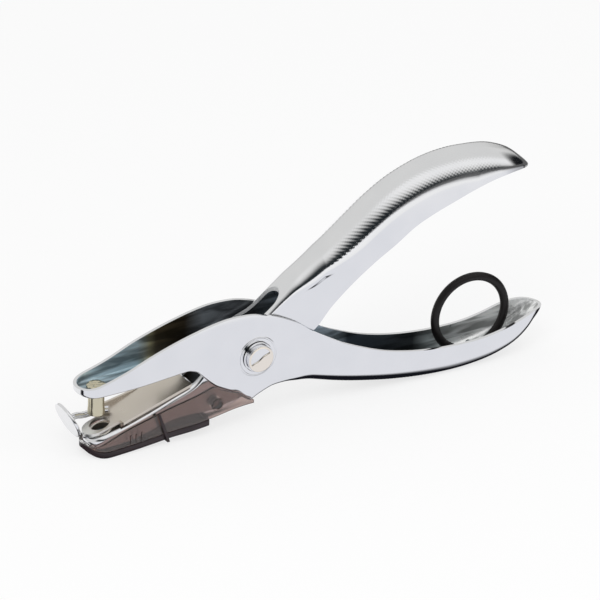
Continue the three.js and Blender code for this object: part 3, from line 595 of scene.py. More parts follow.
def channel_place(web, edge, bend, up, skin=0):
    """Places of one skin of a channel; skin is how far inside the outer face it lies."""
    def web_at(x):
        return web(x) + up * (sheet_upright(web, x, skin) if skin else 0)

    def place(row, side, column):
        x, reach = row[0], reach_of(row)
        tall = max(abs(edge(x) - web_at(x)), 0.1)
        turn_radius = min(max(bend(x) - skin, TIGHTEST_BEND), reach * WIDEST_SHARE, tall * WIDEST_SHARE)
        inset, height = bent_section(column, tall, turn_radius, turn_radius, reach,
                                     WALL_STEPS, BEND_STEPS, OUTER_WEB_STEPS)
        there, aside, along = drawn_in(row, side, inset)
        return Vector((there, aside, web_at(there) + up * height))
    return place


def lever_skins(name, nose, nose_half, flank, tip, tip_length, spacing, columns, place, direction):
    """The outer and the inner skin of a channel, a sheet apart, with rows that match."""
    skins = []
    for skin in (0, SHEET):
        rows = plan_rows(nose - skin, nose_half - skin, lambda x: flank(x) - skin,
                         tip - skin, tip_length - skin, spacing)
        skins.append(face_out(tub(name, rows, columns, place(skin)), direction))
    return skins


outer_skins = lever_skins(
    "outer_lever_dressed", JAW_REACH, OUTER_NOSE_HALF, outer_flank, HANDLE_REACH, HANDLE_TIP,
    row_spacing(BELLY_ROW, *BELLY_ROWS), WALL_STEPS + BEND_STEPS + OUTER_WEB_STEPS,
    lambda skin: channel_place(outer_base, outer_rim, outer_bend, 1, skin), (0, 0, -1))

# %% [markdown]
# ## Knurl, rims and thickness
# The knurl is pressed into the outer skin alone: its points move out along their normals, in a
# pattern of crossing waves. Then the two skins are joined and their rims bridged, which gives a
# clean millimetre of sheet where Solidify would fold at the tight bends. Last the rims are
# rounded, because tumbling and plating leave no sharp edge.

# %% Knurl and thickness
KNURL_PITCH = 0.55
KNURL_HEIGHT = 0.036
BELLY_KNURL = (22, 28, 58, 64)
BELLY_SIDE = (0.1, 0.35)
RIM_ROUND = 0.3


def rise_and_fall(x, rise, full, fall, gone):
    return ease(x, rise, full) * (1 - ease(x, fall, gone))


def press_knurl(skin, strength):
    """Raises points where waves cross; strength(point, normal, distance from the middle) is 0 to 1."""
    wave = math.pi / KNURL_PITCH
    walked = skin.data.attributes["from_middle"].data
    normals = [vertex.normal.copy() for vertex in skin.data.vertices]
    for vertex, normal in zip(skin.data.vertices, normals):
        across = walked[vertex.index].value
        share = strength(vertex.co, normal, across)
        if share > 0:
            crossing = math.cos(wave * vertex.co.x) * math.cos(wave * across)
            vertex.co += normal * KNURL_HEIGHT * share * crossing


def closed_sheet(skins, outside, inside):
    """Joins an outer and an inner skin and bridges their rims."""
    outer, inner = skins
    mesh_step(inner, (bpy.ops.mesh.flip_normals, {}))
    for index, skin in enumerate(skins):
        skin.data.materials.append(outside)
        skin.data.materials.append(inside)
        for face in skin.data.polygons:
            face.material_index = index
    joined(outer.name, [outer, inner])
    on_open_edges(outer, bpy.ops.mesh.bridge_edge_loops)
    measure(outer, "bridged")
    return outer


def joined(name, pieces):
    bpy.ops.object.select_all(action="DESELECT")
    for piece in pieces:
        piece.select_set(True)
    bpy.context.view_layer.objects.active = pieces[0]
    bpy.ops.object.join()
    pieces[0].name = name
    return pieces[0]


def round_rims(piece, width, segments=3, angle=60):
    apply_modifier(piece, "BEVEL", width=width, segments=segments, limit_method="ANGLE",
                   angle_limit=math.radians(angle), use_clamp_overlap=True)
    measure(piece, "with rims")
    return piece


press_knurl(outer_skins[0], lambda point, normal, across:
            rise_and_fall(point.x, *BELLY_KNURL) * ease(-normal.z, *BELLY_SIDE))
outer_lever = closed_sheet(outer_skins, chrome, inside_steel)
round_rims(outer_lever, RIM_ROUND)

# %% [markdown]
# ## Holes by boolean
# Holes are punched in the flat sheet on the real lever. Here a cutter of the same shape is taken
# away. Where it leaves a wide cut, the cut faces get the rough finish of sheared sheet.

# %% Cutters
def block_piece(name, low, high):
    centre = [(a + b) / 2 for a, b in zip(low, high)]
    bpy.ops.mesh.primitive_cube_add(size=1, location=centre)
    piece = bpy.context.object
    piece.name = name
    piece.dimensions = [b - a for a, b in zip(low, high)]
    bpy.ops.object.transform_apply(location=True, rotation=True, scale=True)
    return piece


def rod_piece(name, radius, start, end, sides=64):
    start, end = Vector(start), Vector(end)
    along = end - start
    bpy.ops.mesh.primitive_cylinder_add(
        vertices=sides, radius=radius, depth=along.length, location=(start + end) / 2,
        rotation=along.to_track_quat("Z", "Y").to_euler())
    piece = bpy.context.object
    piece.name = name
    bpy.ops.object.transform_apply(location=True, rotation=True, scale=True)
    return piece


def combine(piece, other, operation, cut_finish=None):
    """A boolean; cut_finish is the material of the faces that the cut lays bare."""
    if cut_finish:
        other.data.materials.clear()
        other.data.materials.append(cut_finish)
    apply_modifier(piece, "BOOLEAN", operation=operation, object=other, solver="EXACT",
                   material_mode="TRANSFER" if cut_finish else "INDEX")
    measure(piece, operation + " " + other.name)
    bpy.data.objects.remove(other)
    return piece


def slot_cutter(name, start, end, half, low, high):
    body = block_piece(name, (start, -half, low), (end, half, high))
    round_end = rod_piece(name + "_end", half, (end, 0, low), (end, 0, high))
    return combine(body, round_end, "UNION")


CLEAR = 0.3
LEDGE = 0.15
SHAFT = 2.5
THROUGH = 9
PIN_REACH, PIN_BORE_DEPTH = 49.6, 4
PIN_RADIUS = 2.25
HANDLE_WEB_START = 13
outer_cutter = joined("outer_cutters", [
    slot_cutter("web_gap", JAW_FLOOR_END, HANDLE_WEB_START, OUTER_HALF - SHEET - LEDGE, -LEVEL, LEVEL),
    rod_piece("pin_bore", PIN_RADIUS + CLEAR,
              (-PIN_REACH, 0, -PIN_BORE_DEPTH), (-PIN_REACH, 0, PIN_BORE_DEPTH)),
])
combine(outer_lever, outer_cutter, "DIFFERENCE", sheared_steel)


def cross_bore(name, radius, x=0, z=0):
    return rod_piece(name, radius, (x, -THROUGH, z), (x, THROUGH, z))


combine(outer_lever, cross_bore("bore", SHAFT + CLEAR), "DIFFERENCE")

# %% [markdown]
# A raised ring is pressed into the near cheek round the bolt. It is a bead sunk in the wall.

# %% Raised ring round the bolt
BEAD_REACH, BEAD_THICK, BEAD_SUNK = 5.9, 0.4, 0.28
bpy.ops.mesh.primitive_torus_add(
    major_radius=BEAD_REACH, minor_radius=BEAD_THICK, major_segments=96, minor_segments=16,
    location=(0, -OUTER_HALF + BEAD_SUNK, 0), rotation=(math.pi / 2, 0, 0))
bead = bpy.context.object
bpy.ops.object.transform_apply(location=True, rotation=True, scale=True)
combine(outer_lever, bead, "UNION")
finish_piece(outer_lever, "lower_body", "outer_lever")

# %% [markdown]
# ## The upper lever
# It crosses between the cheeks: lower jaw in front, upper handle behind. The handle swells out to a
# rounded grip that stands proud of the flat cheek along a soft step, and its back is knurled.

# %% Inner lever: skin
INNER_NOSE_HALF = 4.6
INNER_SHOULDER = 5
INNER_HALF = OUTER_HALF - SHEET - CLEAR
GRIP_HALF = 7
GRIP_TIP = 12
GRIP_WEB_START = 6.4
LOWER_FLOOR_END = -20
SWELL_END = GRIP_REACH * 0.42
INNER_JAW_BEND, GRIP_BEND = 1.7, 5.6
BACK_RUN = (4, 10)
BACK_SHALLOW, BACK_DEEP, BACK_DEEP_RUN, BACK_SHARE = 3.2, 9.0, (6, 36), 0.8
STEP_DEEP, STEP_FADE = 1.2 * SHEET, (GRIP_REACH * 0.25, GRIP_REACH * 0.55)
STEP_SHORT, STEP_TALL, STEP_RUN = 1.5, 6, (10, 40)
STEP_STEPS, GRIP_BEND_STEPS, GRIP_WEB_STEPS = 8, 44, 6
GRIP_ROW, GRIP_ROWS = 0.22, (22, 82)
GRIP_KNURL, GRIP_KNURL_FADE = (22, 30, 74, 82), (8.2, 9.8)


def grip_flank(x):
    nose_end = -INNER_NOSE_REACH + INNER_NOSE_HALF
    jaw = mix(INNER_NOSE_HALF, INNER_HALF, ease(x, nose_end, nose_end + INNER_SHOULDER))
    return mix(jaw, GRIP_HALF, ease(x, GRIP_WEB_START, SWELL_END))


def grip_step(x):
    """How far the flat cheek lies behind the swelling."""
    low = min(grip_flank(x), max(INNER_HALF, grip_flank(x) - STEP_DEEP))
    return (grip_flank(x) - low) * (1 - ease(x, *STEP_FADE))


def grip_bend(x):
    return mix(INNER_JAW_BEND, GRIP_BEND, ease(x, GRIP_WEB_START - SHEET, GRIP_WEB_START + 2 * GRIP_HALF))


def back_depth(x):
    """How far down the rounded back of the grip reaches."""
    return mix(BACK_SHALLOW, BACK_DEEP, ease(x, *BACK_DEEP_RUN)) - SHEET


def grip_place(skin):
    def web_at(x):
        return inner_web(x) - (sheet_upright(inner_web, x, skin) if skin else 0)

    def place(row, side, column):
        x, half, middle = row
        reach = reach_of(row)
        tall = max(web_at(x) - inner_edge(x), 0.1)
        bend = max(grip_bend(x) - skin, TIGHTEST_BEND)
        handle = ease(x, *BACK_RUN)
        deep = min(mix(bend, max(back_depth(x) - skin, bend), handle), tall * BACK_SHARE)
        inward = min(mix(deep, bend, handle), reach * WIDEST_SHARE)
        step_height = min(mix(STEP_SHORT, STEP_TALL, ease(x, *STEP_RUN)), (tall - deep) * WIDEST_SHARE)
        behind = grip_step(x) * half / (grip_flank(x) - skin)
        if column <= WALL_STEPS:
            inset = behind
            height = mix(tall, deep + step_height, column / WALL_STEPS)
        elif column <= WALL_STEPS + STEP_STEPS:
            share = (column - WALL_STEPS) / STEP_STEPS
            inset = behind * (1 - ease(share, 0, 1))
            height = deep + step_height * (1 - share)
        else:
            inset, height = bent_section(column - STEP_STEPS, tall, inward, deep, reach,
                                         WALL_STEPS, GRIP_BEND_STEPS, GRIP_WEB_STEPS)
        there, aside, along = drawn_in(row, side, inset)
        return Vector((there, aside, web_at(there) - height))
    return place


inner_skins = lever_skins(
    "inner_lever_dressed", INNER_NOSE_REACH, INNER_NOSE_HALF, grip_flank, GRIP_REACH, GRIP_TIP,
    row_spacing(GRIP_ROW, *GRIP_ROWS),
    WALL_STEPS + STEP_STEPS + GRIP_BEND_STEPS + GRIP_WEB_STEPS, grip_place, (0, 0, 1))
press_knurl(inner_skins[0], lambda point, normal, across:
            rise_and_fall(point.x, *GRIP_KNURL) * (1 - ease(across, *GRIP_KNURL_FADE)))
inner_lever = closed_sheet(inner_skins, chrome, inside_steel)
round_rims(inner_lever, RIM_ROUND)

# %% [markdown]
# The lower jaw is cut for the die, for the guide plate's feet and for the chip box's two bosses.

# %% Inner lever: holes
DIE_REACH = 48.1
DIE_SEAT_RADIUS, DIE_SEAT_TOP = 3.8, -9
PLATE_HALF = 3.7
FLANGE = 0.8
BOSS_X, BOSS_Z, BOSS_RADIUS = -13.6, -11.6, 1.6
WING_FRONT = -(DIE_REACH - 4.5)
FEET, FOOT_LENGTH = (WING_FRONT, -24), 1.8
inner_cutter = joined("inner_cutters", [
    slot_cutter("web_gap", LOWER_FLOOR_END, GRIP_WEB_START, INNER_HALF - SHEET - LEDGE, -LEVEL, LEVEL),
    rod_piece("die_seat", DIE_SEAT_RADIUS, (-DIE_REACH, 0, -LEVEL), (-DIE_REACH, 0, DIE_SEAT_TOP)),
])
combine(inner_lever, inner_cutter, "DIFFERENCE", sheared_steel)
combine(inner_lever, cross_bore("bore", SHAFT + CLEAR), "DIFFERENCE")
combine(inner_lever, cross_bore("boss_bore", BOSS_RADIUS + CLEAR, BOSS_X, BOSS_Z), "DIFFERENCE")
for start in FEET:
    for side in (-1, 1):
        near, far = sorted((side * (PLATE_HALF - FLANGE - CLEAR), side * (PLATE_HALF + CLEAR)))
        hole = block_piece("foot_hole", (start - CLEAR, near, -LEVEL),
                           (start + FOOT_LENGTH + CLEAR, far, -SHEET))
        combine(inner_lever, hole, "DIFFERENCE")
finish_piece(inner_lever, "upper_handle", "inner_lever")

# %% [markdown]
# ## Turned pieces
# Bolt, nut, sleeve, punch, die and disc all come off a lathe, so each is half a section spun
# about its axis. The lathe leaves small edge breaks, which catch the light as thin bright rings.

# %% Spin a section
def turned(name, profile, axis="Y", steps=72, closed=False):
    """profile: (radius, place along the axis), spun all the way round and welded."""
    points = []
    for radius, along in profile:
        points.append((radius, 0, along) if axis == "Z" else (radius, along, 0))
    count = len(points)
    edges = [(i, i + 1) for i in range(count - 1)] + ([(count - 1, 0)] if closed else [])
    mesh = bpy.data.meshes.new(name)
    mesh.from_pydata(points, edges, [])
    piece = bpy.data.objects.new(name, mesh)
    bpy.context.scene.collection.objects.link(piece)
    spin_axis = (0, 0, 1) if axis == "Z" else (0, 1, 0)
    mesh_step(piece, (bpy.ops.mesh.spin, {
        "steps": steps, "angle": 2 * math.pi, "center": (0, 0, 0), "axis": spin_axis}))
    return welded(piece)


def arc(centre_radius, centre_along, radius, start, end, steps=5):
    """Points of a rounded edge in a section, angles in degrees."""
    turns = [math.radians(mix(start, end, step / steps)) for step in range(steps + 1)]
    return [(centre_radius + radius * math.cos(t), centre_along + radius * math.sin(t)) for t in turns]


# %% [markdown]
# The bolt head stands on a neck and a thin flange. Its face was struck nearly flat, with a shallow
# step across it that catches the light as one crease.

# %% Bolt
SEAT = -OUTER_HALF - CLEAR
FLANGE_FACE = SEAT - 0.4
NECK_FACE = FLANGE_FACE - 0.4
HEAD_FACE = NECK_FACE - 1.2
NUT_BASE = OUTER_HALF + CLEAR
SHAFT_END = NUT_BASE + 0.7
HEAD, HEAD_ROUND, HEAD_RIM, HEAD_BREAK = 4.05, 0.22, 0.3, 0.12
BOLT_NECK, BOLT_FLANGE, FLANGE_BREAK = 3.7, 4.6, 0.15
FACE_RADIUS, FACE_RINGS = 3.4, 22
face_rings = [(FACE_RADIUS * step / FACE_RINGS, HEAD_FACE) for step in range(FACE_RINGS + 1)]
bolt = turned("pivot_bolt_dressed", [
    *face_rings,
    *arc(HEAD - HEAD_ROUND, HEAD_FACE + HEAD_RIM, HEAD_ROUND, -90, 0),
    (HEAD, NECK_FACE - HEAD_BREAK), (HEAD - HEAD_BREAK, NECK_FACE),
    (BOLT_NECK + 0.05, NECK_FACE), (BOLT_NECK, FLANGE_FACE),
    (BOLT_FLANGE - FLANGE_BREAK, FLANGE_FACE), (BOLT_FLANGE, FLANGE_FACE + FLANGE_BREAK),
    (BOLT_FLANGE, SEAT), (SHAFT, SEAT), (SHAFT, SHAFT_END), (0, SHAFT_END)],
    steps=120)
CREASE_TURN, CREASE_DEEP, CREASE_WIDE, CREASE_HIGH = math.radians(28), 0.24, 0.5, 0.4
CREASE_SWAY, CREASE_WAVE = 0.12, 1.6
for vertex in bolt.data.vertices:
    if vertex.co.y < HEAD_FACE + 0.01:
        run = vertex.co.x * math.cos(CREASE_TURN) + vertex.co.z * math.sin(CREASE_TURN)
        rise = vertex.co.z * math.cos(CREASE_TURN) - vertex.co.x * math.sin(CREASE_TURN)
        line = CREASE_SWAY * math.sin(CREASE_WAVE * run) + CREASE_HIGH
        shut = 1 - ease(math.hypot(vertex.co.x, vertex.co.z), FACE_RADIUS - 0.15, FACE_RADIUS)
        vertex.co.y += CREASE_DEEP * shut * ease(rise, line - CREASE_WIDE, line)
bolt.data.materials.append(chrome)
bolt.data.materials.append(bolt_nickel)
for face in bolt.data.polygons:
    if face.center.y < HEAD_FACE + 0.2:
        face.material_index = 1
finish_piece(bolt, "lower_body", "pivot_bolt", smooth=LATHE_ANGLE)

# %% [markdown]
# The nut is a cap with a blind bore, and the sleeve is a plain tube that carries the spring.

# %% Nut and sleeve
NUT, NUT_ROUND, NUT_TALL, NUT_BORE = 4.2, 0.45, 1.9, 1.15
NUT_ROUND_FROM = NUT_BASE + NUT_TALL - NUT_ROUND
nut = turned("pivot_nut_dressed", [
    (0, NUT_BASE + NUT_BORE), (SHAFT + CLEAR, NUT_BASE + NUT_BORE), (SHAFT + CLEAR, NUT_BASE),
    (NUT, NUT_BASE), (NUT, NUT_ROUND_FROM), *arc(NUT - NUT_ROUND, NUT_ROUND_FROM, NUT_ROUND, 0, 90),
    (0, NUT_BASE + NUT_TALL)])
finish_piece(nut, "lower_body", "pivot_nut", chrome, smooth=LATHE_ANGLE)

SLEEVE_END = INNER_HALF - SHEET - CLEAR
SLEEVE_BORE, SLEEVE_OUT, TUBE_BREAK = 2.8, 3.5, 0.1
sleeve = turned("pivot_sleeve_dressed", [
    (SLEEVE_BORE, -SLEEVE_END), (SLEEVE_OUT - TUBE_BREAK, -SLEEVE_END),
    (SLEEVE_OUT, -SLEEVE_END + TUBE_BREAK), (SLEEVE_OUT, SLEEVE_END - TUBE_BREAK),
    (SLEEVE_OUT - TUBE_BREAK, SLEEVE_END), (SLEEVE_BORE, SLEEVE_END)], closed=True)
finish_piece(sleeve, "lower_body", "pivot_sleeve", wire_steel, smooth=LATHE_ANGLE)

# %% [markdown]
# The punch has a wide land at its cutting end and a head peened over in the jaw. A peened head is
# beaten with a hammer, so its points are pushed about by a few crossing waves.

# %% Punch
PIN_FOOT = -8.1
SHANK, LAND = 2.38, 2.52
HEAD_BASE = outer_base(-PIN_REACH) + SHEET + CLEAR
punch = turned("punch_pin_dressed", [
    (0, PIN_FOOT + 0.5), (1.6, PIN_FOOT + 0.1), (LAND - 0.1, PIN_FOOT), (LAND, PIN_FOOT + 0.12),
    (LAND, PIN_FOOT + 1.2), (LAND - 0.04, PIN_FOOT + 1.8), (LAND - 0.1, PIN_FOOT + 2.4),
    (SHANK, PIN_FOOT + 3.2),
    (SHANK, HEAD_BASE), (2.8, HEAD_BASE), (2.9, HEAD_BASE + 0.2), (2.8, HEAD_BASE + 0.5),
    (2.3, HEAD_BASE + 0.72), (1.6, HEAD_BASE + 0.78), (0.9, HEAD_BASE + 0.75), (0.4, HEAD_BASE + 0.8),
    (0, HEAD_BASE + 0.8)], axis="Z", steps=64)
BEATEN_HIGH, BEATEN_DOWN = 0.09, 0.1
for vertex in punch.data.vertices:
    if vertex.co.z > HEAD_BASE + 0.3:
        x, y = vertex.co.x, vertex.co.y
        beat = math.sin(3.1 * x + 1) * math.cos(4.3 * y) + math.sin(5 * y + 2 * x)
        vertex.co.z += BEATEN_HIGH * beat - BEATEN_DOWN
punch.data.transform(Matrix.Translation((-PIN_REACH, 0, 0)))
finish_piece(punch, "lower_body", "punch_pin", punch_steel, smooth=LATHE_ANGLE)

# %% [markdown]
# The die is a hard ring set in the lower jaw. It is tilted with the guide plate above it.

# %% Die
PLATE_SLOPE = 0.3
DIE_TOP = inner_web(-DIE_REACH)
die = turned("die_bush_dressed", [
    (2.8, -1.8), (3.4, -1.8), (3.5, -1.7), (3.5, -0.1), (3.4, 0), (2.9, 0), (2.8, -0.08)],
    axis="Z", closed=True, steps=64)
for vertex in die.data.vertices:
    x, y, z = vertex.co
    vertex.co = Vector((x - DIE_REACH, y, z + DIE_TOP + PLATE_SLOPE * x))
finish_piece(die, "upper_handle", "die_bush", plate_steel, smooth=LATHE_ANGLE)

# %% [markdown]
# ## The guide plate
# A folded plate over the lower jaw: round nose with the punch's hole, two wings, side flanges and
# four feet. The far wing ends in a low turned-up edge. It is put together level, its edges are
# eased, and then it is slid up its slope.

# %% Guide plate
PLATE_THICK = 0.9
PLATE_TIP = INNER_NOSE_REACH + 0.4
PLATE_REAR = 21.3
PLATE_HOLE = DIE_REACH + 0.4
PLATE_LIFT = 1.76
WING_HALF, FAR_WING_HALF = 5.4, 6.2
FAR_WING_FRONT = WING_FRONT - 3
TURNED_UP_END, TURNED_UP_HIGH, TURNED_UP_LOW = -33, 1.8, 0.1
OVERLAP = 1
HALF_THICK = 0.45
FLANGE_LENGTH, FLANGE_DEEP, FLANGE_TAPER = 15.8, 1.6, 5
PLATE_HOLE_RADIUS, PLATE_BREAK = 2.95, 0.13
plate = block_piece("guide_plate_dressed", (WING_FRONT, -WING_HALF, -PLATE_THICK), (-PLATE_REAR, OVERLAP, 0))
far_wing = block_piece("far_wing", (FAR_WING_FRONT, 0, -PLATE_THICK), (-PLATE_REAR, FAR_WING_HALF, 0))
combine(plate, far_wing, "UNION")
nose_centre = -PLATE_TIP + PLATE_HALF
neck = block_piece("plate_neck", (nose_centre, -PLATE_HALF, -PLATE_THICK),
                   (WING_FRONT + OVERLAP, PLATE_HALF, 0))
combine(plate, neck, "UNION")
nose = rod_piece("plate_nose", PLATE_HALF, (nose_centre, 0, -PLATE_THICK), (nose_centre, 0, 0), 96)
combine(plate, nose, "UNION")


def plate_top(x):
    return DIE_TOP + PLATE_LIFT + PLATE_SLOPE * (x + DIE_REACH)


for side in (-1, 1):
    near, far = sorted((side * (PLATE_HALF - FLANGE), side * PLATE_HALF))
    flange = block_piece("flange", (WING_FRONT, near, -FLANGE_DEEP),
                         (WING_FRONT + FLANGE_LENGTH, far, -HALF_THICK))
    for vertex in flange.data.vertices:
        if vertex.co.z < -PLATE_THICK and vertex.co.x > WING_FRONT + FLANGE_TAPER:
            vertex.co.z = -PLATE_THICK
    combine(plate, flange, "UNION")
    for start in FEET:
        drop = inner_web(start) - SHEET - plate_top(start)
        foot = block_piece("foot", (start, near, drop), (start + FOOT_LENGTH, far, -HALF_THICK))
        combine(plate, foot, "UNION")
hole = rod_piece("plate_hole", PLATE_HOLE_RADIUS, (-PLATE_HOLE, 0, -2), (-PLATE_HOLE, 0, 1), 96)
combine(plate, hole, "DIFFERENCE")
turned_up = block_piece("turned_up_edge", (FAR_WING_FRONT, FAR_WING_HALF - FLANGE, -HALF_THICK),
                        (TURNED_UP_END, FAR_WING_HALF, TURNED_UP_HIGH))
for vertex in turned_up.data.vertices:
    if vertex.co.z > 0 and vertex.co.x > TURNED_UP_END - OVERLAP:
        vertex.co.z = TURNED_UP_LOW
combine(plate, turned_up, "UNION")
mesh_step(plate, (bpy.ops.mesh.dissolve_limited, {"angle_limit": math.radians(1)}))
round_rims(plate, PLATE_BREAK, segments=2, angle=50)
for vertex in plate.data.vertices:
    vertex.co.z += plate_top(vertex.co.x)
finish_piece(plate, "upper_handle", "guide_plate", plate_steel, smooth=LATHE_ANGLE)

# %% [markdown]
# ## Wire pieces
# Spring, stop arm and staple are bent from round wire: a curve with a round bevel, made a mesh
# when its line is right. The spring is wound on the sleeve, and one leg presses on each lever.

# %% Bend a wire
def wire_piece(name, points, radius, smooth_line=False):
    curve = bpy.data.curves.new(name, "CURVE")
    curve.dimensions = "3D"
    curve.bevel_depth = radius
    curve.bevel_resolution = 5
    curve.use_fill_caps = True
    line = curve.splines.new("NURBS" if smooth_line else "POLY")
    line.points.add(len(points) - 1)
    for point, place in zip(line.points, points):
        point.co = (*place, 1)
    if smooth_line:
        line.use_endpoint_u = True
        line.order_u = 4
        line.resolution_u = 12
    piece = bpy.data.objects.new(name, curve)
    bpy.context.scene.collection.objects.link(piece)
    only(piece)
    bpy.ops.object.convert(target="MESH")
    return welded(bpy.context.object)


# %% Return spring
WIRE = 1
COIL = SLEEVE_OUT + CLEAR + WIRE / 2
TURNS = 3.5
STEPS_A_TURN = 32
COIL_PITCH = 1.5
HALF_SPAN = COIL_PITCH * TURNS / 2
LOWER_LEG, UPPER_LEG = 19.8, 33
lower_leg = inner_web(-LOWER_LEG) + CLEAR + WIRE / 2
upper_leg = outer_base(-UPPER_LEG) - CLEAR - WIRE / 2
spring_line = [(-LOWER_LEG - WIRE, HALF_SPAN, lower_leg), (-LOWER_LEG, HALF_SPAN, lower_leg)]
for step in range(int(TURNS * STEPS_A_TURN) + 1):
    turn = -math.pi / 2 + 2 * math.pi * step / STEPS_A_TURN
    along = HALF_SPAN - COIL_PITCH * step / STEPS_A_TURN
    spring_line.append((COIL * math.cos(turn), along, COIL * math.sin(turn)))
spring_line += [(-UPPER_LEG + WIRE, -HALF_SPAN, upper_leg), (-UPPER_LEG, -HALF_SPAN, upper_leg)]
spring = wire_piece("return_spring_dressed", spring_line, WIRE / 2)
finish_piece(spring, None, finish=wire_steel, smooth=WIRE_ANGLE)
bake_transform(spring)
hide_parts("return_spring")

# %% [markdown]
# The edge stop is a bar that lies on the guide plate, runs past the nose and carries a thin disc.

# %% Stop arm and disc
STOP_WIRE = 1
STOP_DISC_REACH = PLATE_TIP + 1.7
ARM_REACH, ARM_SIDE = DIE_REACH - 3.9, 2
DISC_SIDE, DISC_DOWN, DISC_RADIUS, DISC_HALF, DISC_ROUND = 5.9, -11.6, 5.7, 0.45, 0.2
LEAN = math.radians(23)
facing = Vector((-math.cos(LEAN), 0, -math.sin(LEAN)))
disc_place = Vector((-STOP_DISC_REACH, DISC_SIDE, DISC_DOWN))
arm_line = []
for along, across in [(0, 0), (0.11, 0.36), (0.36, 0.74), (0.65, 1)]:
    reach = mix(ARM_REACH, STOP_DISC_REACH, along)
    height = plate_top(-reach) + CLEAR + STOP_WIRE
    arm_line.append(Vector((-reach, mix(ARM_SIDE, DISC_SIDE, across), height)))
arm_end = disc_place - facing * (DISC_HALF + CLEAR)
arm_line += [arm_end - facing * 2, arm_end]
arm = wire_piece("stop_arm_dressed", arm_line, STOP_WIRE, smooth_line=True)
finish_piece(arm, "upper_handle", "stop_arm", chrome, smooth=WIRE_ANGLE)

flat, edge = DISC_RADIUS - 0.5, DISC_RADIUS - DISC_ROUND
disc = turned("stop_disc_dressed", [
    (0, -DISC_HALF), (flat, -DISC_HALF),
    *arc(edge, -DISC_HALF + DISC_ROUND, DISC_ROUND, -90, 0, 3),
    *arc(edge, DISC_HALF - DISC_ROUND, DISC_ROUND, 0, 90, 3),
    (flat, DISC_HALF), (0, DISC_HALF)], axis="Z", steps=96)
faced = facing.to_track_quat("Z", "Y").to_matrix().to_4x4()
disc.data.transform(Matrix.Translation(disc_place) @ faced)
finish_piece(disc, "upper_handle", "stop_disc", chrome, smooth=LATHE_ANGLE)

# %% [markdown]
# ## The chip box
# Smoky side walls hang on two bosses and a dark tray is welded on below. Both are moulded, so
# their walls are even and every edge has a small radius. The walls are a band round the nose,
# made as the levers are; the tray is a shallow tub.

# %% Chip box: walls
CATCHER_HALF = 6.3
CATCHER_WALL = 0.8
CATCHER_REAR_HALF = OUTER_HALF + CLEAR + CATCHER_WALL
TRAY_HEIGHT = 2.1
TRAY_REAR = 15.4
TRAY_JOINT = 0.2
CATCHER_TAIL = 1.8


def catcher_flank(x):
    return mix(CATCHER_HALF, CATCHER_REAR_HALF, ease(x, JAW_FLOOR_END, LOWER_FLOOR_END))


def shell_low(x):
    tail = ease(x, -TRAY_REAR - CATCHER_WALL, -CATCHER_TAIL)
    return mix(catcher_base(x) + TRAY_HEIGHT + TRAY_JOINT, catcher_rim(-CATCHER_TAIL) - SHEET, tail)


SHELL_STEPS = 8
SHELL_ROUND, TRAY_ROUND = 0.18, 0.15


def shell_place(row, side, column):
    """Down the outside, up the inside and back over the rim."""
    inside = SHELL_STEPS < column < 2 * SHELL_STEPS + 2
    step = 2 * SHELL_STEPS + 1 - column if inside else column % (2 * SHELL_STEPS + 2)
    there, aside, along = drawn_in(row, side, CATCHER_WALL if inside else 0)
    return Vector((there, aside, mix(catcher_rim(row[0]), shell_low(row[0]), step / SHELL_STEPS)))


def even_rows(x):
    return PLAIN_ROW


shell_rows = plan_rows(CATCHER_NOSE_REACH, CATCHER_HALF, catcher_flank, -CATCHER_TAIL, 0, even_rows)
shell = tub("catcher_shell_dressed", shell_rows[::-1], 2 * SHELL_STEPS + 2, shell_place)
on_open_edges(shell, bpy.ops.mesh.fill_holes, sides=0)
welded(shell)
measure(shell, "closed")
round_rims(shell, SHELL_ROUND, segments=2, angle=50)

# %% [markdown]
# The bosses are rings with a sunk middle, joined to the walls, and three small ribs for the finger
# stand near the nose on each side.

# %% Chip box: bosses and ribs
BOSS_PROUD, BOSS_RING, BOSS_DISH, BOSS_SUNK = 0.3, 1.95, 1.4, 0.35
boss_face = CATCHER_REAR_HALF + BOSS_PROUD
boss_root = CATCHER_REAR_HALF - CATCHER_WALL / 2
boss_profile = [
    (0, INNER_HALF - SHEET), (BOSS_RADIUS, INNER_HALF - SHEET), (BOSS_RADIUS, boss_root),
    (BOSS_RING, boss_root), (BOSS_RING, boss_face - 0.2), (BOSS_RING - 0.15, boss_face),
    (BOSS_DISH, boss_face), (BOSS_DISH - 0.2, boss_face - BOSS_SUNK), (0, boss_face - BOSS_SUNK)]
RIBS, RIB_FIRST, RIB_GAP = 3, -42.0, 1.8
RIB_WIDE, RIB_PROUD, RIB_TALL, RIB_ROUND = 0.5, 0.35, 3.0, 0.15
for side in (-1, 1):
    boss = turned("boss", [(radius, side * along) for radius, along in boss_profile], steps=48)
    boss.data.transform(Matrix.Translation((BOSS_X, 0, BOSS_Z)))
    combine(shell, boss, "UNION")
    for rib in range(RIBS):
        x = RIB_FIRST + rib * RIB_GAP
        wall = catcher_flank(x)
        near, far = sorted((side * (wall - CATCHER_WALL / 2), side * (wall + RIB_PROUD)))
        low = catcher_base(x) + TRAY_HEIGHT + 2 * TRAY_JOINT
        rib_piece = block_piece("rib", (x, near, low), (x + RIB_WIDE, far, low + RIB_TALL))
        apply_modifier(rib_piece, "BEVEL", width=RIB_ROUND, segments=2, use_clamp_overlap=True)
        combine(shell, rib_piece, "UNION")
finish_piece(shell, "catcher", "catcher_shell", smoke, smooth=MOULDED_ANGLE)

# %% [markdown]
# The tray's floor bulges with the box, so its height is read off the floor's curve at each point.

# %% Chip box: tray
TRAY_BEND, TRAY_TIGHTEST, TRAY_TIP = 0.7, 0.2, 1.2
TRAY_WALL_STEPS, TRAY_BEND_STEPS, TRAY_FLOOR_STEPS = 3, 6, 4


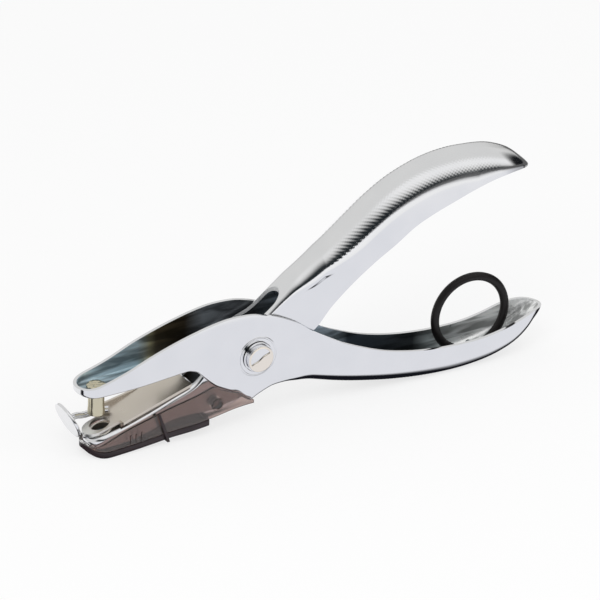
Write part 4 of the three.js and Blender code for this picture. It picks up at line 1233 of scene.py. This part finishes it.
def tray_place(skin):
    def place(row, side, column):
        reach = reach_of(row)
        bend = min(max(TRAY_BEND - skin, TRAY_TIGHTEST), reach * WIDEST_SHARE)
        inset, height = bent_section(column, TRAY_HEIGHT - skin, bend, bend, reach,
                                     TRAY_WALL_STEPS, TRAY_BEND_STEPS, TRAY_FLOOR_STEPS)
        there, aside, along = drawn_in(row, side, inset)
        low = mix(catcher_base(row[0]), catcher_base(there), along)
        return Vector((there, aside, low + skin + height))
    return place


tray_skins = []
tray_columns = TRAY_WALL_STEPS + TRAY_BEND_STEPS + TRAY_FLOOR_STEPS
for skin in (0, CATCHER_WALL):
    rows = plan_rows(CATCHER_NOSE_REACH - skin, CATCHER_HALF - skin, lambda x: catcher_flank(x) - skin,
                     -TRAY_REAR - skin, TRAY_TIP, even_rows)
    tray_skin = tub("catcher_tray_dressed", rows, tray_columns, tray_place(skin))
    tray_skins.append(face_out(tray_skin, (0, 0, -1)))
tray = closed_sheet(tray_skins, dark_plastic, dark_plastic)
round_rims(tray, TRAY_ROUND, segments=2, angle=50)
CLIP_REACH, CLIP_WIDE, CLIP_THICK, CLIP_PROUD, CLIP_LEAN = 30.4, 0.9, 0.6, 0.3, 0.32
clip_bottom = catcher_base(-CLIP_REACH) - CLIP_PROUD + CLIP_THICK
groove = block_piece("groove", (-CLIP_REACH - CLEAR, -THROUGH, -2 * LEVEL),
                     (-CLIP_REACH + CLIP_WIDE + CLEAR, THROUGH, clip_bottom + CLEAR))
combine(tray, groove, "DIFFERENCE")
finish_piece(tray, "catcher", "catcher_tray", dark_plastic, smooth=MOULDED_ANGLE)

# %% [markdown]
# A narrow strap runs under the tray and up both sides, leaning forwards. It is a block with its
# middle taken out, its edges rounded as moulding rounds them.

# %% Strap
CLIP_ROUND = 0.14
clip_out = catcher_flank(-CLIP_REACH) + CLEAR
clip_top = catcher_rim(-CLIP_REACH) - CLEAR
strap = block_piece("catcher_clip_dressed", (0, -clip_out - CLIP_THICK, clip_bottom - CLIP_THICK),
                    (CLIP_WIDE, clip_out + CLIP_THICK, clip_top))
inside = block_piece("strap_inside", (-OVERLAP, -clip_out, clip_bottom),
                     (CLIP_WIDE + OVERLAP, clip_out, clip_top + OVERLAP))
combine(strap, inside, "DIFFERENCE")
round_rims(strap, CLIP_ROUND, segments=3, angle=50)
for vertex in strap.data.vertices:
    vertex.co.x += -CLIP_REACH - CLIP_LEAN * (vertex.co.z - clip_bottom)
finish_piece(strap, "catcher", "catcher_clip", dark_plastic, smooth=LATHE_ANGLE)

# %% [markdown]
# ## The rubber ring and its staple
# The ring is moulded in two halves, so a fine flash line runs round its outside. The staple that
# holds it is a bent wire, hidden in the handle.

# %% Ring
RING_PLACE, RING_RADIUS, RING_SECTION, RING_SWOLLEN = 73, 11.4, 2.1, 0.2
FLASH_HIGH, FLASH_EDGE = 0.05, (0.05, 0.22)
seat = outer_base(RING_PLACE) + CLEAR + SHEET
ring_height = seat + RING_SECTION / 2 + RING_RADIUS
bpy.ops.mesh.primitive_torus_add(
    major_radius=RING_RADIUS, minor_radius=RING_SECTION / 2 + RING_SWOLLEN,
    major_segments=144, minor_segments=32, rotation=(math.pi / 2, 0, 0))
ring = bpy.context.object
ring.name = "lock_ring_dressed"
bpy.ops.object.transform_apply(location=True, rotation=True, scale=True)
for vertex in ring.data.vertices:
    out = math.hypot(vertex.co.x, vertex.co.z)
    flash = 1 - ease(abs(vertex.co.y), *FLASH_EDGE)
    if out > RING_RADIUS and flash > 0:
        vertex.co.x *= 1 + FLASH_HIGH * flash / out
        vertex.co.z *= 1 + FLASH_HIGH * flash / out
ring.data.transform(Matrix.Translation((RING_PLACE, 0, ring_height)))
finish_piece(ring, "ring", "lock_ring", rubber, smooth=SOFT_ANGLE)

# %% Staple
STAPLE, BOW_STEPS = 1.1, 16
bow = RING_SECTION / 2 + CLEAR + STAPLE / 2
middle = seat + RING_SECTION / 2
staple_line = [(RING_PLACE, -bow, seat)]
for step in range(BOW_STEPS + 1):
    turn = math.pi - math.pi * step / BOW_STEPS
    staple_line.append((RING_PLACE, bow * math.cos(turn), middle + bow * math.sin(turn)))
staple_line.append((RING_PLACE, bow, seat))
staple = wire_piece("ring_staple_dressed", staple_line, STAPLE / 2)
finish_piece(staple, "lower_body", "ring_staple", wire_steel, smooth=WIRE_ANGLE)

# %% [markdown]
# ## Floor
# The tool stands on white card. What the camera and clear plastic see of it is nearly full white,
# and the rest is card under the lamps, which keeps the shadow. What a mirror sees of it is drawn
# across the card, because chrome is mostly a picture of the table it stands on.

# %% Floor
CARD_GLOW = 0.72
bpy.ops.mesh.primitive_plane_add(size=6, location=(0, 0, 0))
floor = bpy.context.object
floor.name = "white_card_floor"
card = bpy.data.materials.new("white_card")
card.use_nodes = True
tree = card.node_tree
tree.nodes.remove(tree.nodes["Principled BSDF"])
lit = add_node(tree, "ShaderNodeBsdfDiffuse", {"Color": linear("#FAFAFA")})
shine = add_node(tree, "ShaderNodeEmission", {"Color": linear("#FFFFFF"), "Strength": 1.0})
path = add_node(tree, "ShaderNodeLightPath")
both = mixed(tree, worked(tree, "MULTIPLY", seen_directly(tree, path), CARD_GLOW), lit, shine)

# In a mirror the card is dark in the tool's own shade, grey just in front and white further off;
# the shade is a little wider under the belly
split = add_node(tree, "ShaderNodeSeparateXYZ", {"Vector": object_place(tree)})
belly = carried(tree, split.outputs["X"], 0.01, 0.045, 0.0045, 0.0)
jaws = carried(tree, split.outputs["X"], -0.025, -0.005)
shifted = worked(tree, "ADD", split.outputs["Y"], worked(tree, "MULTIPLY", belly, jaws))
forward = carried(tree, shifted, -0.3, 0.1)
IN_FRONT = [(0.0, "#FFFFFF"), (0.42, "#FBFBFA"), (0.52, "#EBECF0"), (0.722, "#EBECF0")]
UNDER_TOOL = [(0.729, "#15161C"), (0.757, "#15161C")]
BEHIND = [(0.768, "#F4F4F4"), (1.0, "#FFFFFF")]
shade = ramp(tree, forward, IN_FRONT + UNDER_TOOL + BEHIND)
beyond = carried(tree, split.outputs["X"], 0.13, 0.22, 1.0, 0.12)
mirrored_card = add_node(tree, "ShaderNodeEmission", {"Color": shade, "Strength": beyond})
both = mixed(tree, path.outputs["Is Glossy Ray"], both, mirrored_card)
tree.links.new(both.outputs[0], tree.nodes["Material Output"].inputs["Surface"])
floor.data.materials.append(card)

# %% [markdown]
# ## Light
# Chrome shows the room. The room that mirrors see is pale grey, with soft cards hung where a
# photographer would hang them: a darker one low behind, a bright one like a window above the front,
# a dark one under it that draws the line along the grip, and a dark one at the far right that
# draws its tip. Two soft lamps light the rest, and mirrors don't see them.

# %% World
ROOM_LIGHT = 0.72
world = bpy.data.worlds.new("white_room")
bpy.context.scene.world = world
world.use_nodes = True
tree = world.node_tree
tree.nodes.clear()
look = add_node(tree, "ShaderNodeTexCoord").outputs["Generated"]
split = add_node(tree, "ShaderNodeSeparateXYZ", {"Vector": look})


def softly(value, start, end):
    """0 below start and 1 past end."""
    step = add_node(tree, "ShaderNodeMapRange", {
        "Value": value, "From Min": start, "From Max": end}, interpolation_type="SMOOTHSTEP")
    return step.outputs["Result"]


def both_of(one, other):
    return worked(tree, "MULTIPLY", one, other)


def hang(colour, share, code):
    """A card of this colour where share is 1."""
    hung = add_node(tree, "ShaderNodeMix", {
        "Factor": share, MIX_A: colour, MIX_B: linear(code)}, data_type="RGBA")
    return hung.outputs[MIX_RESULT]


x_way, y_way, z_way = (split.outputs[axis] for axis in "XYZ")
leaning = worked(tree, "MULTIPLY_ADD", x_way, 0.5, z_way)
behind = softly(y_way, -0.1, 0.5)
front = softly(y_way, -0.25, -0.6)
above_table = softly(leaning, -0.14, -0.08)
below_lamp = softly(leaning, 0.55, 0.2)
window_height = both_of(softly(leaning, 0.45, 0.75), softly(leaning, 1.1, 0.85))
window = both_of(softly(y_way, 0.0, -0.5), window_height)
colour = hang(linear("#DEDEDC"), both_of(behind, softly(z_way, 0.4, -0.2)), "#BDBDBB")
colour = hang(colour, window, "#F6F6F5")
colour = hang(colour, both_of(front, both_of(above_table, below_lamp)), "#23282B")
colour = hang(colour, softly(x_way, 0.76, 0.92), "#16181B")
mirrored = add_node(tree, "ShaderNodeBackground", {"Color": colour, "Strength": 1.0})
lighting = add_node(tree, "ShaderNodeBackground", {"Color": linear("#FFFFFF"), "Strength": ROOM_LIGHT})
backdrop = add_node(tree, "ShaderNodeBackground", {"Color": linear("#FFFFFF"), "Strength": 1.0})
path = add_node(tree, "ShaderNodeLightPath")
room = mixed(tree, path.outputs["Is Glossy Ray"], lighting, mirrored)
room = mixed(tree, seen_directly(tree, path), room, backdrop)
add_node(tree, "ShaderNodeOutputWorld", {"Surface": room.outputs[0]})
print("room mirrored by the chrome:", world.name)

# %% Lamps
def lamp(name, place, size, power):
    light = bpy.data.lights.new(name, "AREA")
    light.size = size
    light.energy = power
    made = bpy.data.objects.new(name, light)
    made.location = place
    made.rotation_euler = (-Vector(place)).to_track_quat("-Z", "Y").to_euler()
    made.visible_glossy = False
    bpy.context.scene.collection.objects.link(made)
    print(name, "power", power, "W")


lamp("key_softbox", (-0.35, -0.45, 0.75), 0.5, 2.2)
lamp("fill_softbox", (0.6, -0.5, 0.4), 0.6, 1.2)
bpy.context.scene.view_settings.view_transform = "Standard"

# %% [markdown]
# ## Camera
# The photograph is taken with a long lens from in front, to the left and above, so the camera is
# orthographic. Its axes were found with the pivot, the jaws and both tips as marks.

# %% Camera
AIM_RIGHT, AIM_UP = 15.086, 13.629
PICTURE_WIDTH, STAND_OFF = 0.17143, 0.3
RIGHT = Vector((0.8704, -0.4924, 0))
UP = Vector((0.2312, 0.4086, 0.8829))
BACK = Vector((-0.4348, -0.7685, 0.4695))
turn = Matrix.Rotation(STAND_TILT, 3, "Y")
aim = pivot + turn @ (RIGHT * AIM_RIGHT + UP * AIM_UP) * MM
camera_data = bpy.data.cameras.new("photo_camera")
camera_data.type = "ORTHO"
camera_data.ortho_scale = PICTURE_WIDTH
camera_data.clip_start = 0.01
camera = bpy.data.objects.new("photo_camera", camera_data)
axes = Matrix((turn @ RIGHT, turn @ UP, turn @ BACK)).transposed().to_4x4()
camera.matrix_world = Matrix.Translation(aim + turn @ BACK * STAND_OFF) @ axes
bpy.context.scene.collection.objects.link(camera)
bpy.context.scene.camera = camera
print("camera stands at", [round(value, 4) for value in camera.matrix_world.translation])

# %% End
import json
